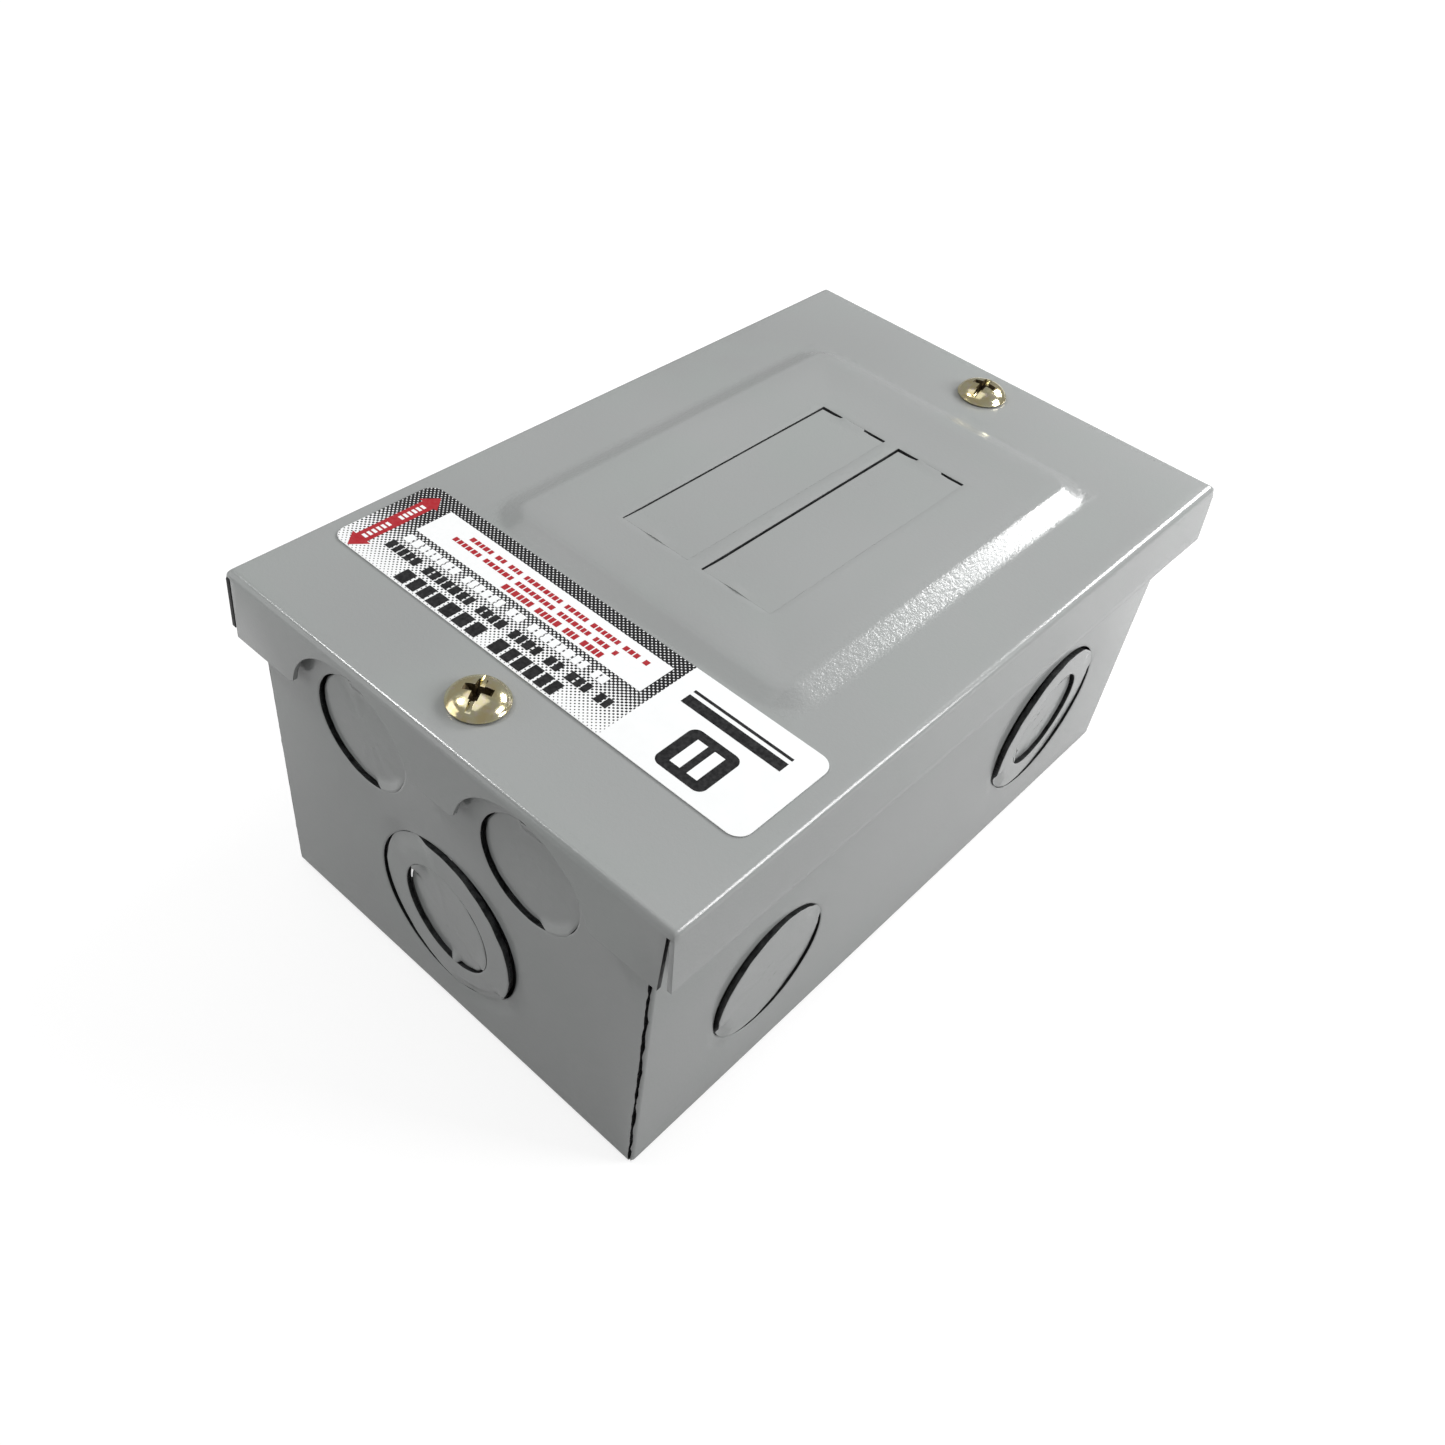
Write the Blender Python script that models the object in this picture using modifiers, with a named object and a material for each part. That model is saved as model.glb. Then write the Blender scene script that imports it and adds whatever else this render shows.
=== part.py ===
"""A two-space surface-mount residential load center, lying on its back with the cover up.

Frame, in metres: the origin is the centre of the back face, +Z points out of the wall, and -Y is the end
that is uppermost on a wall. Seen from the front that way up, +X is the left side and -X the right side.
"""

import math

import bmesh
import bpy
from mathutils import Matrix, Vector

# Driving dimensions, in metres.
COVER_WIDTH = 0.102
COVER_LENGTH = 0.160
FACE_HEIGHT = 0.073  # back face to the flat of the cover
SHEET = 0.0012
GAP = 0.0003  # between pieces that touch or nearly touch
BEND = 0.0018  # outer radius of every fold
RUNNING_CLEARANCE = 0.00015  # round a screw that turns in its hole
THROUGH = 0.004  # how far a cutter runs past the sheet that it cuts

# The cover's folded edges.
END_SKIRT = 0.0146  # how far the cover laps down over the end walls
SIDE_SKIRT = 0.0128
SIDE_INSET = 0.0042  # outer face of the skirt to outer face of the wall
END_INSET = 0.0022
CORNER_SLIT = 0.0005  # between a side skirt and the end skirt that it meets
SKIRT_TAPER = 0.0028  # how much shorter an end skirt's free edge is at each end
NOTCH_RADIUS = 0.0150  # bite in the end skirts over each corner knockout

# The cover's raised panel and the two breaker slots in it.
EMBOSS_RISE = 0.0016
EMBOSS_WIDTH = 0.0724
EMBOSS_LENGTH = 0.0976
EMBOSS_CENTRE_Y = 0.0096
EMBOSS_RAMP = 0.0047  # run of the slope up to the raised panel
EMBOSS_CORNER = 0.0075
SPACE_PITCH = 0.01905  # breaker to breaker
SLOT_WIDTH = 0.0158
SLOT_LENGTH = 0.0580
SLOT_CENTRE_Y = 0.0080

# The cover screws and the label.
COVER_SCREW_Y = 0.0697
COVER_SCREW_RADIUS = 0.0023
COVER_SCREW_LENGTH = 0.0130
COVER_SCREW_HEAD_RADIUS = 0.0052
COVER_SCREW_HEAD_HEIGHT = 0.0026
COVER_SCREW_HOLE = 0.0028
DRIVE_SLOT = (0.0012, 0.0125, 0.0011)  # width, length and depth of the slot across the head
DRIVE_CROSS = (0.0015, 0.0050, 0.0018)
LABEL_WIDTH = 0.0936
LABEL_LENGTH = 0.0224
LABEL_CENTRE = (-0.0006, -0.0502)
LABEL_CORNER = 0.0027
LABEL_THICKNESS = 0.00025
LABEL_GAP = 0.0001

# Knockouts: the radii of the trade-size holes, and where each hole is on its wall.
HALF_INCH = 0.0111
THREE_QUARTER_INCH = 0.0141
ONE_INCH = 0.01745
CORNER_KNOCKOUT_X = 0.0202
CORNER_KNOCKOUT_Z = 0.0560
CENTRE_KNOCKOUT_Z = 0.0255
UPPER_KNOCKOUT = (-0.0460, 0.0265)  # y and z
LOWER_KNOCKOUT = (0.0430, 0.0285)
STRUCK = 0.0005  # how far a knockout stands in or out of its wall
END_TIE_ANGLE = math.radians(146)  # where the tie of an end wall's ring is, from +X towards +Z
SIDE_TIE_ANGLE = math.radians(30)  # where the tie of a side knockout is, from +Y towards +Z

# The back's holes: a keyhole and a round hole on each side for the wall screws, and those of the interior.
MOUNT_HOLE_X = 0.0290
MOUNT_HOLE_RADIUS = 0.0024
KEYHOLE_Y = -0.0560
KEYHOLE_HEAD = 0.0042
KEYHOLE_REACH = 0.0080  # centre of the keyhole's head to the end of its slot
ROUND_HOLE_Y = 0.0620
BACK_HOLE_RADIUS = 0.0022
BASE_SCREW_PLACES = [(0.0, 0.0040), (0.0, 0.0320)]

# The ears that take the cover screws, and the walls' corners.
EAR_HALF_WIDTH = 0.0120
EAR_DEPTH = 0.0140
EAR_DROP = 0.0002  # the ear's top below the rim of the walls
EAR_COLLAR_RADIUS = 0.0040
EAR_COLLAR_DROP = 0.0028
LAP_START_X = 0.0340
LAP_DROP = 0.0009
SEAM_INSET = 0.0022  # side wall's outer face to the seam in the end wall
SEAM_WIDTH = 0.0005
SEAM_START_Z = 0.0024

# The moulded base under the breakers.
BASE_HALF_WIDTH = 0.0205
BASE_TOP = 0.0085
BASE_START_Y = -0.0450
BASE_END_Y = 0.0500
JOIN_DEPTH = 0.0020  # how deep the barrier and the shelf are sunk in the base
BARRIER_HALF_THICKNESS = 0.0012
BARRIER_INSET = 0.0010
BARRIER_END_Y = -0.0080
BARRIER_TOP = 0.0270
SHELF_HALF_WIDTH = 0.0185
SHELF_START_Y = 0.0100
SHELF_END_Y = 0.0280
SHELF_RISE = 0.0040
POCKET_SIDE = 0.0100
POCKET_HALF_LENGTH = 0.0060
POCKET_DEPTH = 0.0040
HOOK_THICKNESS = 0.0014
HOOK_START_Y = 0.0370
HOOK_BACK_Y = 0.0450
HOOK_TIP_Y = 0.0410
HOOK_TOP = 0.0180

# The line buses with their lugs.
BUS_THICKNESS = 0.0016
BUS_WIDTH = 0.0090
BUS_INSET = 0.0015  # end of the base to the end of the bus
STAB_Y = -0.0140
STAB_TOP = 0.0300
LUG_CENTRE_Y = -0.0365
LUG_HALF_WIDTH = 0.0058
LUG_HALF_LENGTH = 0.0065
LUG_HEIGHT = 0.0130
LUG_BORE = 0.0032
LUG_BORE_RISE = 0.0045  # foot of the lug to the middle of its wire hole
LUG_SCREW_RADIUS = 0.0030
LUG_SCREW_LENGTH = 0.0075
LUG_SCREW_RISE = 0.0012

# The neutral bar on its insulating block.
NEUTRAL_X = -0.0350
NEUTRAL_BAR_SIDE = 0.0090
NEUTRAL_LENGTH = 0.0520
NEUTRAL_FOOT = 0.0120
NEUTRAL_START_Y = -0.0275
NEUTRAL_END_SCREW_INSET = 0.0028
BLOCK_FLANGE = 0.0010  # how much wider than the bar the block is on each side
BLOCK_INSET = 0.0002
NEUTRAL_LUG_INSET = 0.0090
NEUTRAL_LUG_BORE = 0.0030
NEUTRAL_LUG_BORE_RISE = 0.0038
NEUTRAL_LUG_SCREW_RADIUS = 0.0026
NEUTRAL_LUG_SCREW_LENGTH = 0.0041
TERMINAL_COUNT = 5
TERMINAL_PITCH = 0.0064
FIRST_TERMINAL = 0.0082  # lug screw to the first terminal screw
TERMINAL_BORE = 0.0018
TERMINAL_BORE_RISE = 0.0034
TERMINAL_RADIUS = 0.0019
TERMINAL_SCREW_LENGTH = 0.0050
TERMINAL_SCREW_RISE = 0.0010

# Screws. A head has an upright rim below its dome, and a shank has a chamfered tip.
RIM_SHARE = 0.25  # of the head's height
TIP_CHAMFER_SHARE = 0.4  # of the shank's radius
SET_SCREW_SLOT = (0.0010, 0.0011)  # width and depth
SET_SCREW_CHAMFER = 0.0004
PAN_HEAD_HEIGHT = 0.0020
PAN_HEAD_RADIUS = 0.0027
BASE_SCREW_HEAD_RADIUS = 0.0036
PAN_HEAD_SLOT = (0.0009, 0.0010)

# Sides of the round shapes.
ROUND_SIDES = 32
COARSE_SIDES = 24
SMALL_SIDES = 16
NOTCH_SIDES = 40

# Worked out from the driving dimensions.
HALF_WIDTH = COVER_WIDTH / 2
HALF_LENGTH = COVER_LENGTH / 2
WALL_X = HALF_WIDTH - SIDE_INSET
WALL_Y = HALF_LENGTH - END_INSET
WALL_TOP = FACE_HEIGHT - SHEET - GAP - 0.0001
EAR_TOP = WALL_TOP - EAR_DROP
LAP_TOP = WALL_TOP - LAP_DROP
SEAM_X = WALL_X - SEAM_INSET
PANEL_TOP = FACE_HEIGHT + EMBOSS_RISE
SLOT_X = SPACE_PITCH / 2
FLOOR = SHEET + GAP  # the underside of what rests on the back
BUS_LEVEL = BASE_TOP + GAP + BUS_THICKNESS / 2
LUG_FOOT = BASE_TOP + 2 * GAP + BUS_THICKNESS
LUG_TOP = LUG_FOOT + LUG_HEIGHT
NEUTRAL_TOP = NEUTRAL_FOOT + NEUTRAL_BAR_SIDE
NEUTRAL_END_Y = NEUTRAL_START_Y + NEUTRAL_LENGTH
NEUTRAL_LUG_Y = NEUTRAL_START_Y + NEUTRAL_LUG_INSET
TERMINAL_START_Y = NEUTRAL_LUG_Y + FIRST_TERMINAL
BONDING_PLACE = (NEUTRAL_X, NEUTRAL_END_Y - NEUTRAL_END_SCREW_INSET)
NEUTRAL_SCREW_PLACE = (NEUTRAL_X, NEUTRAL_START_Y + NEUTRAL_END_SCREW_INSET)

SIDES = {"left": 1, "right": -1}  # sign of X
ENDS = {"top": -1, "bottom": 1}  # sign of Y
UPRIGHT = (0, 0, 1)


def clear_scene():
    for obj in list(bpy.data.objects):
        bpy.data.objects.remove(obj, do_unlink=True)


def new_collection(name, parent):
    collection = bpy.data.collections.new(name)
    parent.children.link(collection)
    return collection


def new_material(name, color, roughness, metallic):
    material = bpy.data.materials.new(name)
    material.use_nodes = True
    shader = material.node_tree.nodes["Principled BSDF"]
    shader.inputs["Base Color"].default_value = (*color, 1.0)
    shader.inputs["Roughness"].default_value = roughness
    shader.inputs["Metallic"].default_value = metallic
    return material


clear_scene()
PARTS = new_collection("residential_load_center", bpy.context.scene.collection)
CUTTERS = new_collection("cutters", bpy.context.scene.collection)

GREY_PAINT = new_material("grey_paint", (0.40, 0.41, 0.41), 0.32, 0.0)
LABEL_VINYL = new_material("label_vinyl", (0.85, 0.85, 0.85), 0.35, 0.0)
YELLOW_ZINC = new_material("yellow_zinc", (0.72, 0.60, 0.32), 0.25, 1.0)
TINNED_BUS = new_material("tinned_bus", (0.70, 0.70, 0.71), 0.30, 1.0)
ALUMINIUM = new_material("aluminium", (0.78, 0.78, 0.79), 0.35, 1.0)
ZINC_STEEL = new_material("zinc_steel", (0.60, 0.61, 0.63), 0.35, 1.0)
BLACK_MOULDING = new_material("black_moulding", (0.03, 0.03, 0.035), 0.5, 0.0)
GREEN_SCREW = new_material("green_screw", (0.05, 0.30, 0.12), 0.4, 0.0)


def finish(bm, name, collection, origin=(0.0, 0.0, 0.0), material=None):
    """The shape as an object whose origin is at the given point. The shape itself stays in place."""
    bmesh.ops.translate(bm, verts=bm.verts, vec=-Vector(origin))
    mesh = bpy.data.meshes.new(name)
    bm.to_mesh(mesh)
    bm.free()
    obj = bpy.data.objects.new(name, mesh)
    obj.location = origin
    collection.objects.link(obj)
    if material:
        mesh.materials.append(material)
    return obj


def attach(child, parent):
    """Parents the child without moving it."""
    bpy.context.view_layer.update()
    child.parent = parent
    child.matrix_parent_inverse = parent.matrix_world.inverted()


def smooth(obj, angle=35):
    obj.data.shade_smooth()
    obj.data.set_sharp_from_angle(angle=math.radians(angle))


def add_box(bm, low, high):
    low, high = Vector(low), Vector(high)
    matrix = Matrix.Translation((low + high) / 2) @ Matrix.Diagonal((*(high - low), 1.0))
    return bmesh.ops.create_cube(bm, size=1.0, matrix=matrix)["verts"]


def add_cylinder(bm, centre, radius, length, axis, sides=ROUND_SIDES):
    turn = Vector((0, 0, 1)).rotation_difference(Vector(axis)).to_matrix().to_4x4()
    bmesh.ops.create_cone(
        bm,
        cap_ends=True,
        segments=sides,
        radius1=radius,
        radius2=radius,
        depth=length,
        matrix=Matrix.Translation(centre) @ turn,
    )


def box(name, low, high, collection=None, material=None, origin=(0.0, 0.0, 0.0)):
    bm = bmesh.new()
    add_box(bm, low, high)
    return finish(bm, name, collection or CUTTERS, origin, material)


def cylinder(name, centre, radius, length, axis, sides=ROUND_SIDES):
    """A helper for a Boolean, along the axis and centred on the point."""
    bm = bmesh.new()
    add_cylinder(bm, centre, radius, length, axis, sides)
    return finish(bm, name, CUTTERS)


def round_upright_edges(bm, radius, segments):
    upright = []
    for edge in bm.edges:
        run = edge.verts[0].co - edge.verts[1].co
        if abs(run.z) > abs(run.x) + abs(run.y):
            upright.append(edge)
    bmesh.ops.bevel(bm, geom=upright, offset=radius, segments=segments, profile=0.5, affect="EDGES")


def boolean(obj, operation, helpers):
    """Joins the helper objects to the object, or cuts them out of it."""
    group = new_collection(f"{obj.name}_{operation.lower()}", CUTTERS)
    for helper in helpers:
        CUTTERS.objects.unlink(helper)
        group.objects.link(helper)
        helper.hide_render = True
        helper.display_type = "WIRE"
    modifier = obj.modifiers.new(operation.title(), "BOOLEAN")
    modifier.operation = operation
    modifier.operand_type = "COLLECTION"
    modifier.collection = group
    modifier.solver = "EXACT"


def folded_tray(name, half_x, half_y, closed_z, open_z, round_corners):
    """A sheet folded into a tray: its flat panel at closed_z and its walls' edges at open_z."""
    bm = bmesh.new()
    add_box(bm, (-half_x, -half_y, min(closed_z, open_z)), (half_x, half_y, max(closed_z, open_z)))
    lid = [face for face in bm.faces if abs(face.calc_center_median().z - open_z) < 1e-6]
    bmesh.ops.delete(bm, geom=lid, context="FACES_ONLY")
    rim = {edge for edge in bm.edges if all(abs(vert.co.z - open_z) < 1e-6 for vert in edge.verts)}
    folds = []
    for edge in bm.edges:
        is_corner = abs(edge.verts[0].co.z - edge.verts[1].co.z) > 1e-6
        if edge not in rim and (round_corners or not is_corner):
            folds.append(edge)
    bmesh.ops.bevel(bm, geom=folds, offset=BEND, segments=3, profile=0.5, affect="EDGES")
    tray = finish(bm, name, PARTS, material=GREY_PAINT)
    skin = tray.modifiers.new("Sheet", "SOLIDIFY")
    skin.thickness = SHEET
    skin.offset = -1.0
    skin.use_even_offset = True
    return tray


def strip(name, path, half_width, centre_x, thickness, material):
    """A metal strip folded along the (y, z) path, as wide as twice half_width along X."""
    bm = bmesh.new()
    start = [bm.verts.new((centre_x - half_width, y, z)) for y, z in path]
    for first, second in zip(start, start[1:]):
        bm.edges.new((first, second))
    bmesh.ops.extrude_edge_only(bm, edges=bm.edges[:])
    moved = [vert for vert in bm.verts if vert not in start]
    bmesh.ops.translate(bm, verts=moved, vec=(2 * half_width, 0, 0))
    bmesh.ops.recalc_face_normals(bm, faces=bm.faces)
    obj = finish(bm, name, PARTS, material=material)
    skin = obj.modifiers.new("Strip", "SOLIDIFY")
    skin.thickness = thickness
    skin.offset = 0.0
    skin.use_even_offset = True
    return obj


def turned(name, profile, centre, steps, material):
    """A turned piece: the (radius, height) profile runs from the top of its axis down the outside."""
    bm = bmesh.new()
    points = [bm.verts.new((centre[0] + radius, centre[1], height)) for radius, height in profile]
    for first, second in zip(points, points[1:]):
        bm.edges.new((first, second))
    obj = finish(bm, name, PARTS, (centre[0], centre[1], profile[0][1]), material)
    spin = obj.modifiers.new("Turn", "SCREW")
    spin.axis = "Z"
    spin.angle = math.tau
    spin.steps = steps
    spin.render_steps = steps
    spin.use_merge_vertices = True
    spin.merge_threshold = 0.00001
    return obj


def screw_profile(seat, head_radius, head_height, shank_radius, length, dome_steps=4):
    """A domed head on the seat height, and a plain shank with a chamfered tip below it."""
    rim = RIM_SHARE * head_height
    top = seat + head_height
    profile = []
    for step in range(dome_steps + 1):
        angle = math.pi / 2 * step / dome_steps
        profile.append((head_radius * math.sin(angle), seat + rim + (top - seat - rim) * math.cos(angle)))
    profile[0] = (0.0, top)
    tip = seat - length
    chamfer = TIP_CHAMFER_SHARE * shank_radius
    profile += [(head_radius, seat), (shank_radius, seat)]
    profile += [(shank_radius, tip + chamfer), (shank_radius - chamfer, tip), (0.0, tip)]
    return profile


def drive_slot(name, centre, top, width, length, depth):
    """A cutter for a slot along X in the top of a screw."""
    x, y = centre
    low = (x - length / 2, y - width / 2, top - depth)
    return box(name, low, (x + length / 2, y + width / 2, top + THROUGH))


# The enclosure: a folded box, open at the front.


def knockout_hole(name, face, across, height, radius):
    """A cutter through a wall. face is an axis letter and a sign, and across the place along the wall."""
    axis, sign = face
    if axis == "x":
        return cylinder(name, (sign * (WALL_X - SHEET / 2), across, height), radius, 2 * THROUGH, (1, 0, 0))
    return cylinder(name, (across, sign * (WALL_Y - SHEET / 2), height), radius, 2 * THROUGH, (0, 1, 0))


def enclosure_holes():
    holes = []
    for end, y_sign in ENDS.items():
        for side, x_sign in SIDES.items():
            across = x_sign * CORNER_KNOCKOUT_X
            face = ("y", y_sign)
            holes.append(knockout_hole(f"{end}_{side}_hole", face, across, CORNER_KNOCKOUT_Z, HALF_INCH))
        holes.append(knockout_hole(f"{end}_centre_hole", ("y", y_sign), 0.0, CENTRE_KNOCKOUT_Z, ONE_INCH))
    for side, x_sign in SIDES.items():
        face = ("x", x_sign)
        holes.append(knockout_hole(f"{side}_upper_hole", face, *UPPER_KNOCKOUT, THREE_QUARTER_INCH))
        holes.append(knockout_hole(f"{side}_lower_hole", face, *LOWER_KNOCKOUT, ONE_INCH))
    return holes


def back_hole(name, place, radius, sides=SMALL_SIDES):
    """A cutter through the back."""
    return cylinder(name, (*place, SHEET / 2), radius, THROUGH, UPRIGHT, sides)


def mounting_holes():
    """Two keyholes towards the top and two round holes towards the bottom, and the interior's screw holes."""
    holes = []
    slot_end = KEYHOLE_Y - KEYHOLE_REACH
    for side, sign in SIDES.items():
        x = sign * MOUNT_HOLE_X
        holes.append(back_hole(f"{side}_keyhole_head", (x, KEYHOLE_Y), KEYHOLE_HEAD, COARSE_SIDES))
        holes.append(back_hole(f"{side}_keyhole_end", (x, slot_end), MOUNT_HOLE_RADIUS))
        low = (x - MOUNT_HOLE_RADIUS, slot_end, -THROUGH)
        holes.append(box(f"{side}_keyhole_slot", low, (x + MOUNT_HOLE_RADIUS, KEYHOLE_Y, SHEET + GAP)))
        holes.append(back_hole(f"{side}_round_hole", (x, ROUND_HOLE_Y), MOUNT_HOLE_RADIUS))
    for number, place in enumerate([*BASE_SCREW_PLACES, BONDING_PLACE, NEUTRAL_SCREW_PLACE]):
        holes.append(back_hole(f"back_hole_{number}", place, BACK_HOLE_RADIUS))
    return holes


def enclosure_additions():
    """The ears that take the cover screws, and the laps of the side walls behind the end walls."""
    added = []
    inner_y = WALL_Y - SHEET
    for end, sign in ENDS.items():
        near, far = sorted((sign * (inner_y - EAR_DEPTH), sign * (inner_y + SHEET / 2)))
        low = (-EAR_HALF_WIDTH, near, EAR_TOP - SHEET)
        added.append(box(f"{end}_ear", low, (EAR_HALF_WIDTH, far, EAR_TOP)))
        depth = SHEET / 2 + EAR_COLLAR_DROP
        centre = (0.0, sign * COVER_SCREW_Y, EAR_TOP - SHEET / 2 - depth / 2)
        added.append(cylinder(f"{end}_ear_collar", centre, EAR_COLLAR_RADIUS, depth, UPRIGHT, COARSE_SIDES))
        for side, x_sign in SIDES.items():
            near_x, far_x = sorted((x_sign * LAP_START_X, x_sign * (WALL_X - SHEET / 2)))
            near_y, far_y = sorted((sign * (inner_y - GAP - SHEET), sign * (inner_y - GAP)))
            added.append(box(f"{end}_{side}_lap", (near_x, near_y, SEAM_START_Z), (far_x, far_y, LAP_TOP)))
    return added


def enclosure_seams():
    """A thin open slit down the end wall beside each corner, from the rim to the back's fold."""
    seams = []
    for end, sign in ENDS.items():
        for side, x_sign in SIDES.items():
            near_x, far_x = sorted((x_sign * (SEAM_X - SEAM_WIDTH), x_sign * SEAM_X))
            near_y, far_y = sorted((sign * (WALL_Y - SHEET - GAP / 2), sign * (WALL_Y + THROUGH)))
            low = (near_x, near_y, SEAM_START_Z)
            seams.append(box(f"{end}_{side}_seam", low, (far_x, far_y, WALL_TOP + THROUGH)))
    return seams


def make_enclosure():
    tray = folded_tray("enclosure", WALL_X, WALL_Y, 0.0, WALL_TOP, round_corners=True)
    boolean(tray, "UNION", enclosure_additions())
    ear_holes = []
    for end, sign in ENDS.items():
        radius = COVER_SCREW_RADIUS + RUNNING_CLEARANCE
        centre = (0.0, sign * COVER_SCREW_Y, EAR_TOP)
        ear_holes.append(cylinder(f"{end}_ear_hole", centre, radius, 4 * THROUGH, UPRIGHT, COARSE_SIDES))
    boolean(tray, "DIFFERENCE", enclosure_holes() + mounting_holes() + enclosure_seams() + ear_holes)
    return tray


# The cover: a shallow folded lid with a raised panel.


def raised_block(name, drop):
    """The raised panel as a solid block with sloping sides, lowered by drop."""
    bury = 0.0005  # how far the block's foot is under the face that it stands on
    rise = EMBOSS_RISE + bury
    slope = EMBOSS_RAMP / EMBOSS_RISE
    half_x = EMBOSS_WIDTH / 2 + bury * slope
    half_y = EMBOSS_LENGTH / 2 + bury * slope
    foot = FACE_HEIGHT - bury - drop
    bm = bmesh.new()
    add_box(bm, (-half_x, -half_y, foot), (half_x, half_y, foot + rise))
    round_upright_edges(bm, EMBOSS_CORNER, 4)
    shrink_x = (half_x - rise * slope) / half_x
    shrink_y = (half_y - rise * slope) / half_y
    for vert in bm.verts:
        if vert.co.z > foot + rise / 2:
            vert.co.x *= shrink_x
            vert.co.y *= shrink_y
    bmesh.ops.translate(bm, verts=bm.verts, vec=(0.0, EMBOSS_CENTRE_Y, 0.0))
    return finish(bm, name, CUTTERS)


def corner_slit(name, x_sign, y_sign):
    """A slit that parts a side skirt from an end skirt."""
    near_x, far_x = sorted((x_sign * (HALF_WIDTH - 2 * SHEET), x_sign * (HALF_WIDTH + THROUGH)))
    inner = HALF_LENGTH - SHEET
    near_y, far_y = sorted((y_sign * (inner - CORNER_SLIT), y_sign * inner))
    foot = FACE_HEIGHT - END_SKIRT - THROUGH
    return box(name, (near_x, near_y, foot), (far_x, far_y, FACE_HEIGHT - BEND - GAP))


def corner_taper(name, x_sign, y_sign):
    """A wedge off the end of an end skirt, which makes the skirt's free edge shorter than its fold."""
    foot = FACE_HEIGHT - END_SKIRT - GAP
    low = (HALF_WIDTH - SKIRT_TAPER, HALF_LENGTH - SHEET - CORNER_SLIT / 2, foot)
    bm = bmesh.new()
    verts = add_box(bm, low, (HALF_WIDTH + THROUGH, HALF_LENGTH + THROUGH, FACE_HEIGHT - BEND - GAP))
    for vert in verts:
        if vert.co.z > foot + GAP and vert.co.x < HALF_WIDTH:
            vert.co.x = HALF_WIDTH - GAP
        vert.co.x *= x_sign
        vert.co.y *= y_sign
    if x_sign * y_sign < 0:
        bmesh.ops.reverse_faces(bm, faces=bm.faces)
    return finish(bm, name, CUTTERS)


def cover_cuts():
    cuts = [raised_block("panel_hollow", SHEET)]
    for end, y_sign in ENDS.items():
        for side, x_sign in SIDES.items():
            cuts.append(corner_slit(f"cover_{end}_{side}_slit", x_sign, y_sign))
            cuts.append(corner_taper(f"cover_{end}_{side}_taper", x_sign, y_sign))
            centre = (x_sign * CORNER_KNOCKOUT_X, y_sign * (HALF_LENGTH - SHEET / 2), CORNER_KNOCKOUT_Z)
            name = f"cover_{end}_{side}_notch"
            cuts.append(cylinder(name, centre, NOTCH_RADIUS, 2 * SHEET, (0, 1, 0), NOTCH_SIDES))
        centre = (0.0, y_sign * COVER_SCREW_Y, FACE_HEIGHT)
        name = f"cover_{end}_screw_hole"
        cuts.append(cylinder(name, centre, COVER_SCREW_HOLE, 2 * THROUGH, UPRIGHT, COARSE_SIDES))
    for side, sign in SIDES.items():
        near_x, far_x = sorted((sign * (HALF_WIDTH - 2 * SHEET), sign * (HALF_WIDTH + THROUGH)))
        reach = HALF_LENGTH - SHEET - CORNER_SLIT / 2
        low = (near_x, -reach, FACE_HEIGHT - END_SKIRT - THROUGH)
        cuts.append(box(f"{side}_skirt_trim", low, (far_x, reach, FACE_HEIGHT - SIDE_SKIRT)))
        x = sign * SLOT_X
        low = (x - SLOT_WIDTH / 2, SLOT_CENTRE_Y - SLOT_LENGTH / 2, FACE_HEIGHT - THROUGH)
        high = (x + SLOT_WIDTH / 2, SLOT_CENTRE_Y + SLOT_LENGTH / 2, FACE_HEIGHT + THROUGH)
        cuts.append(box(f"{side}_breaker_slot", low, high))
    return cuts


def make_cover():
    foot = FACE_HEIGHT - END_SKIRT
    lid = folded_tray("cover", HALF_WIDTH, HALF_LENGTH, FACE_HEIGHT, foot, round_corners=False)
    boolean(lid, "UNION", [raised_block("panel_block", 0.0)])
    boolean(lid, "DIFFERENCE", cover_cuts())
    return lid


def make_label():
    x, y = LABEL_CENTRE
    foot = FACE_HEIGHT + LABEL_GAP
    bm = bmesh.new()
    high = (LABEL_WIDTH / 2, LABEL_LENGTH / 2, LABEL_THICKNESS)
    add_box(bm, (-LABEL_WIDTH / 2, -LABEL_LENGTH / 2, 0.0), high)
    round_upright_edges(bm, LABEL_CORNER, 4)
    bmesh.ops.translate(bm, verts=bm.verts, vec=(x, y, foot))
    return finish(bm, "label", PARTS, (x, y, foot), LABEL_VINYL)


def make_twist_out(side):
    """A blank that fills a breaker slot. It turns on the ties at the middle of its two short ends."""
    x = SIDES[side] * SLOT_X
    half_x = SLOT_WIDTH / 2 - GAP
    half_y = SLOT_LENGTH / 2 - GAP
    low = (x - half_x, SLOT_CENTRE_Y - half_y, PANEL_TOP - SHEET)
    high = (x + half_x, SLOT_CENTRE_Y + half_y, PANEL_TOP)
    origin = (x, SLOT_CENTRE_Y, PANEL_TOP - SHEET / 2)
    return box(f"twist_out_{side}", low, high, PARTS, GREY_PAINT, origin)


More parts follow.
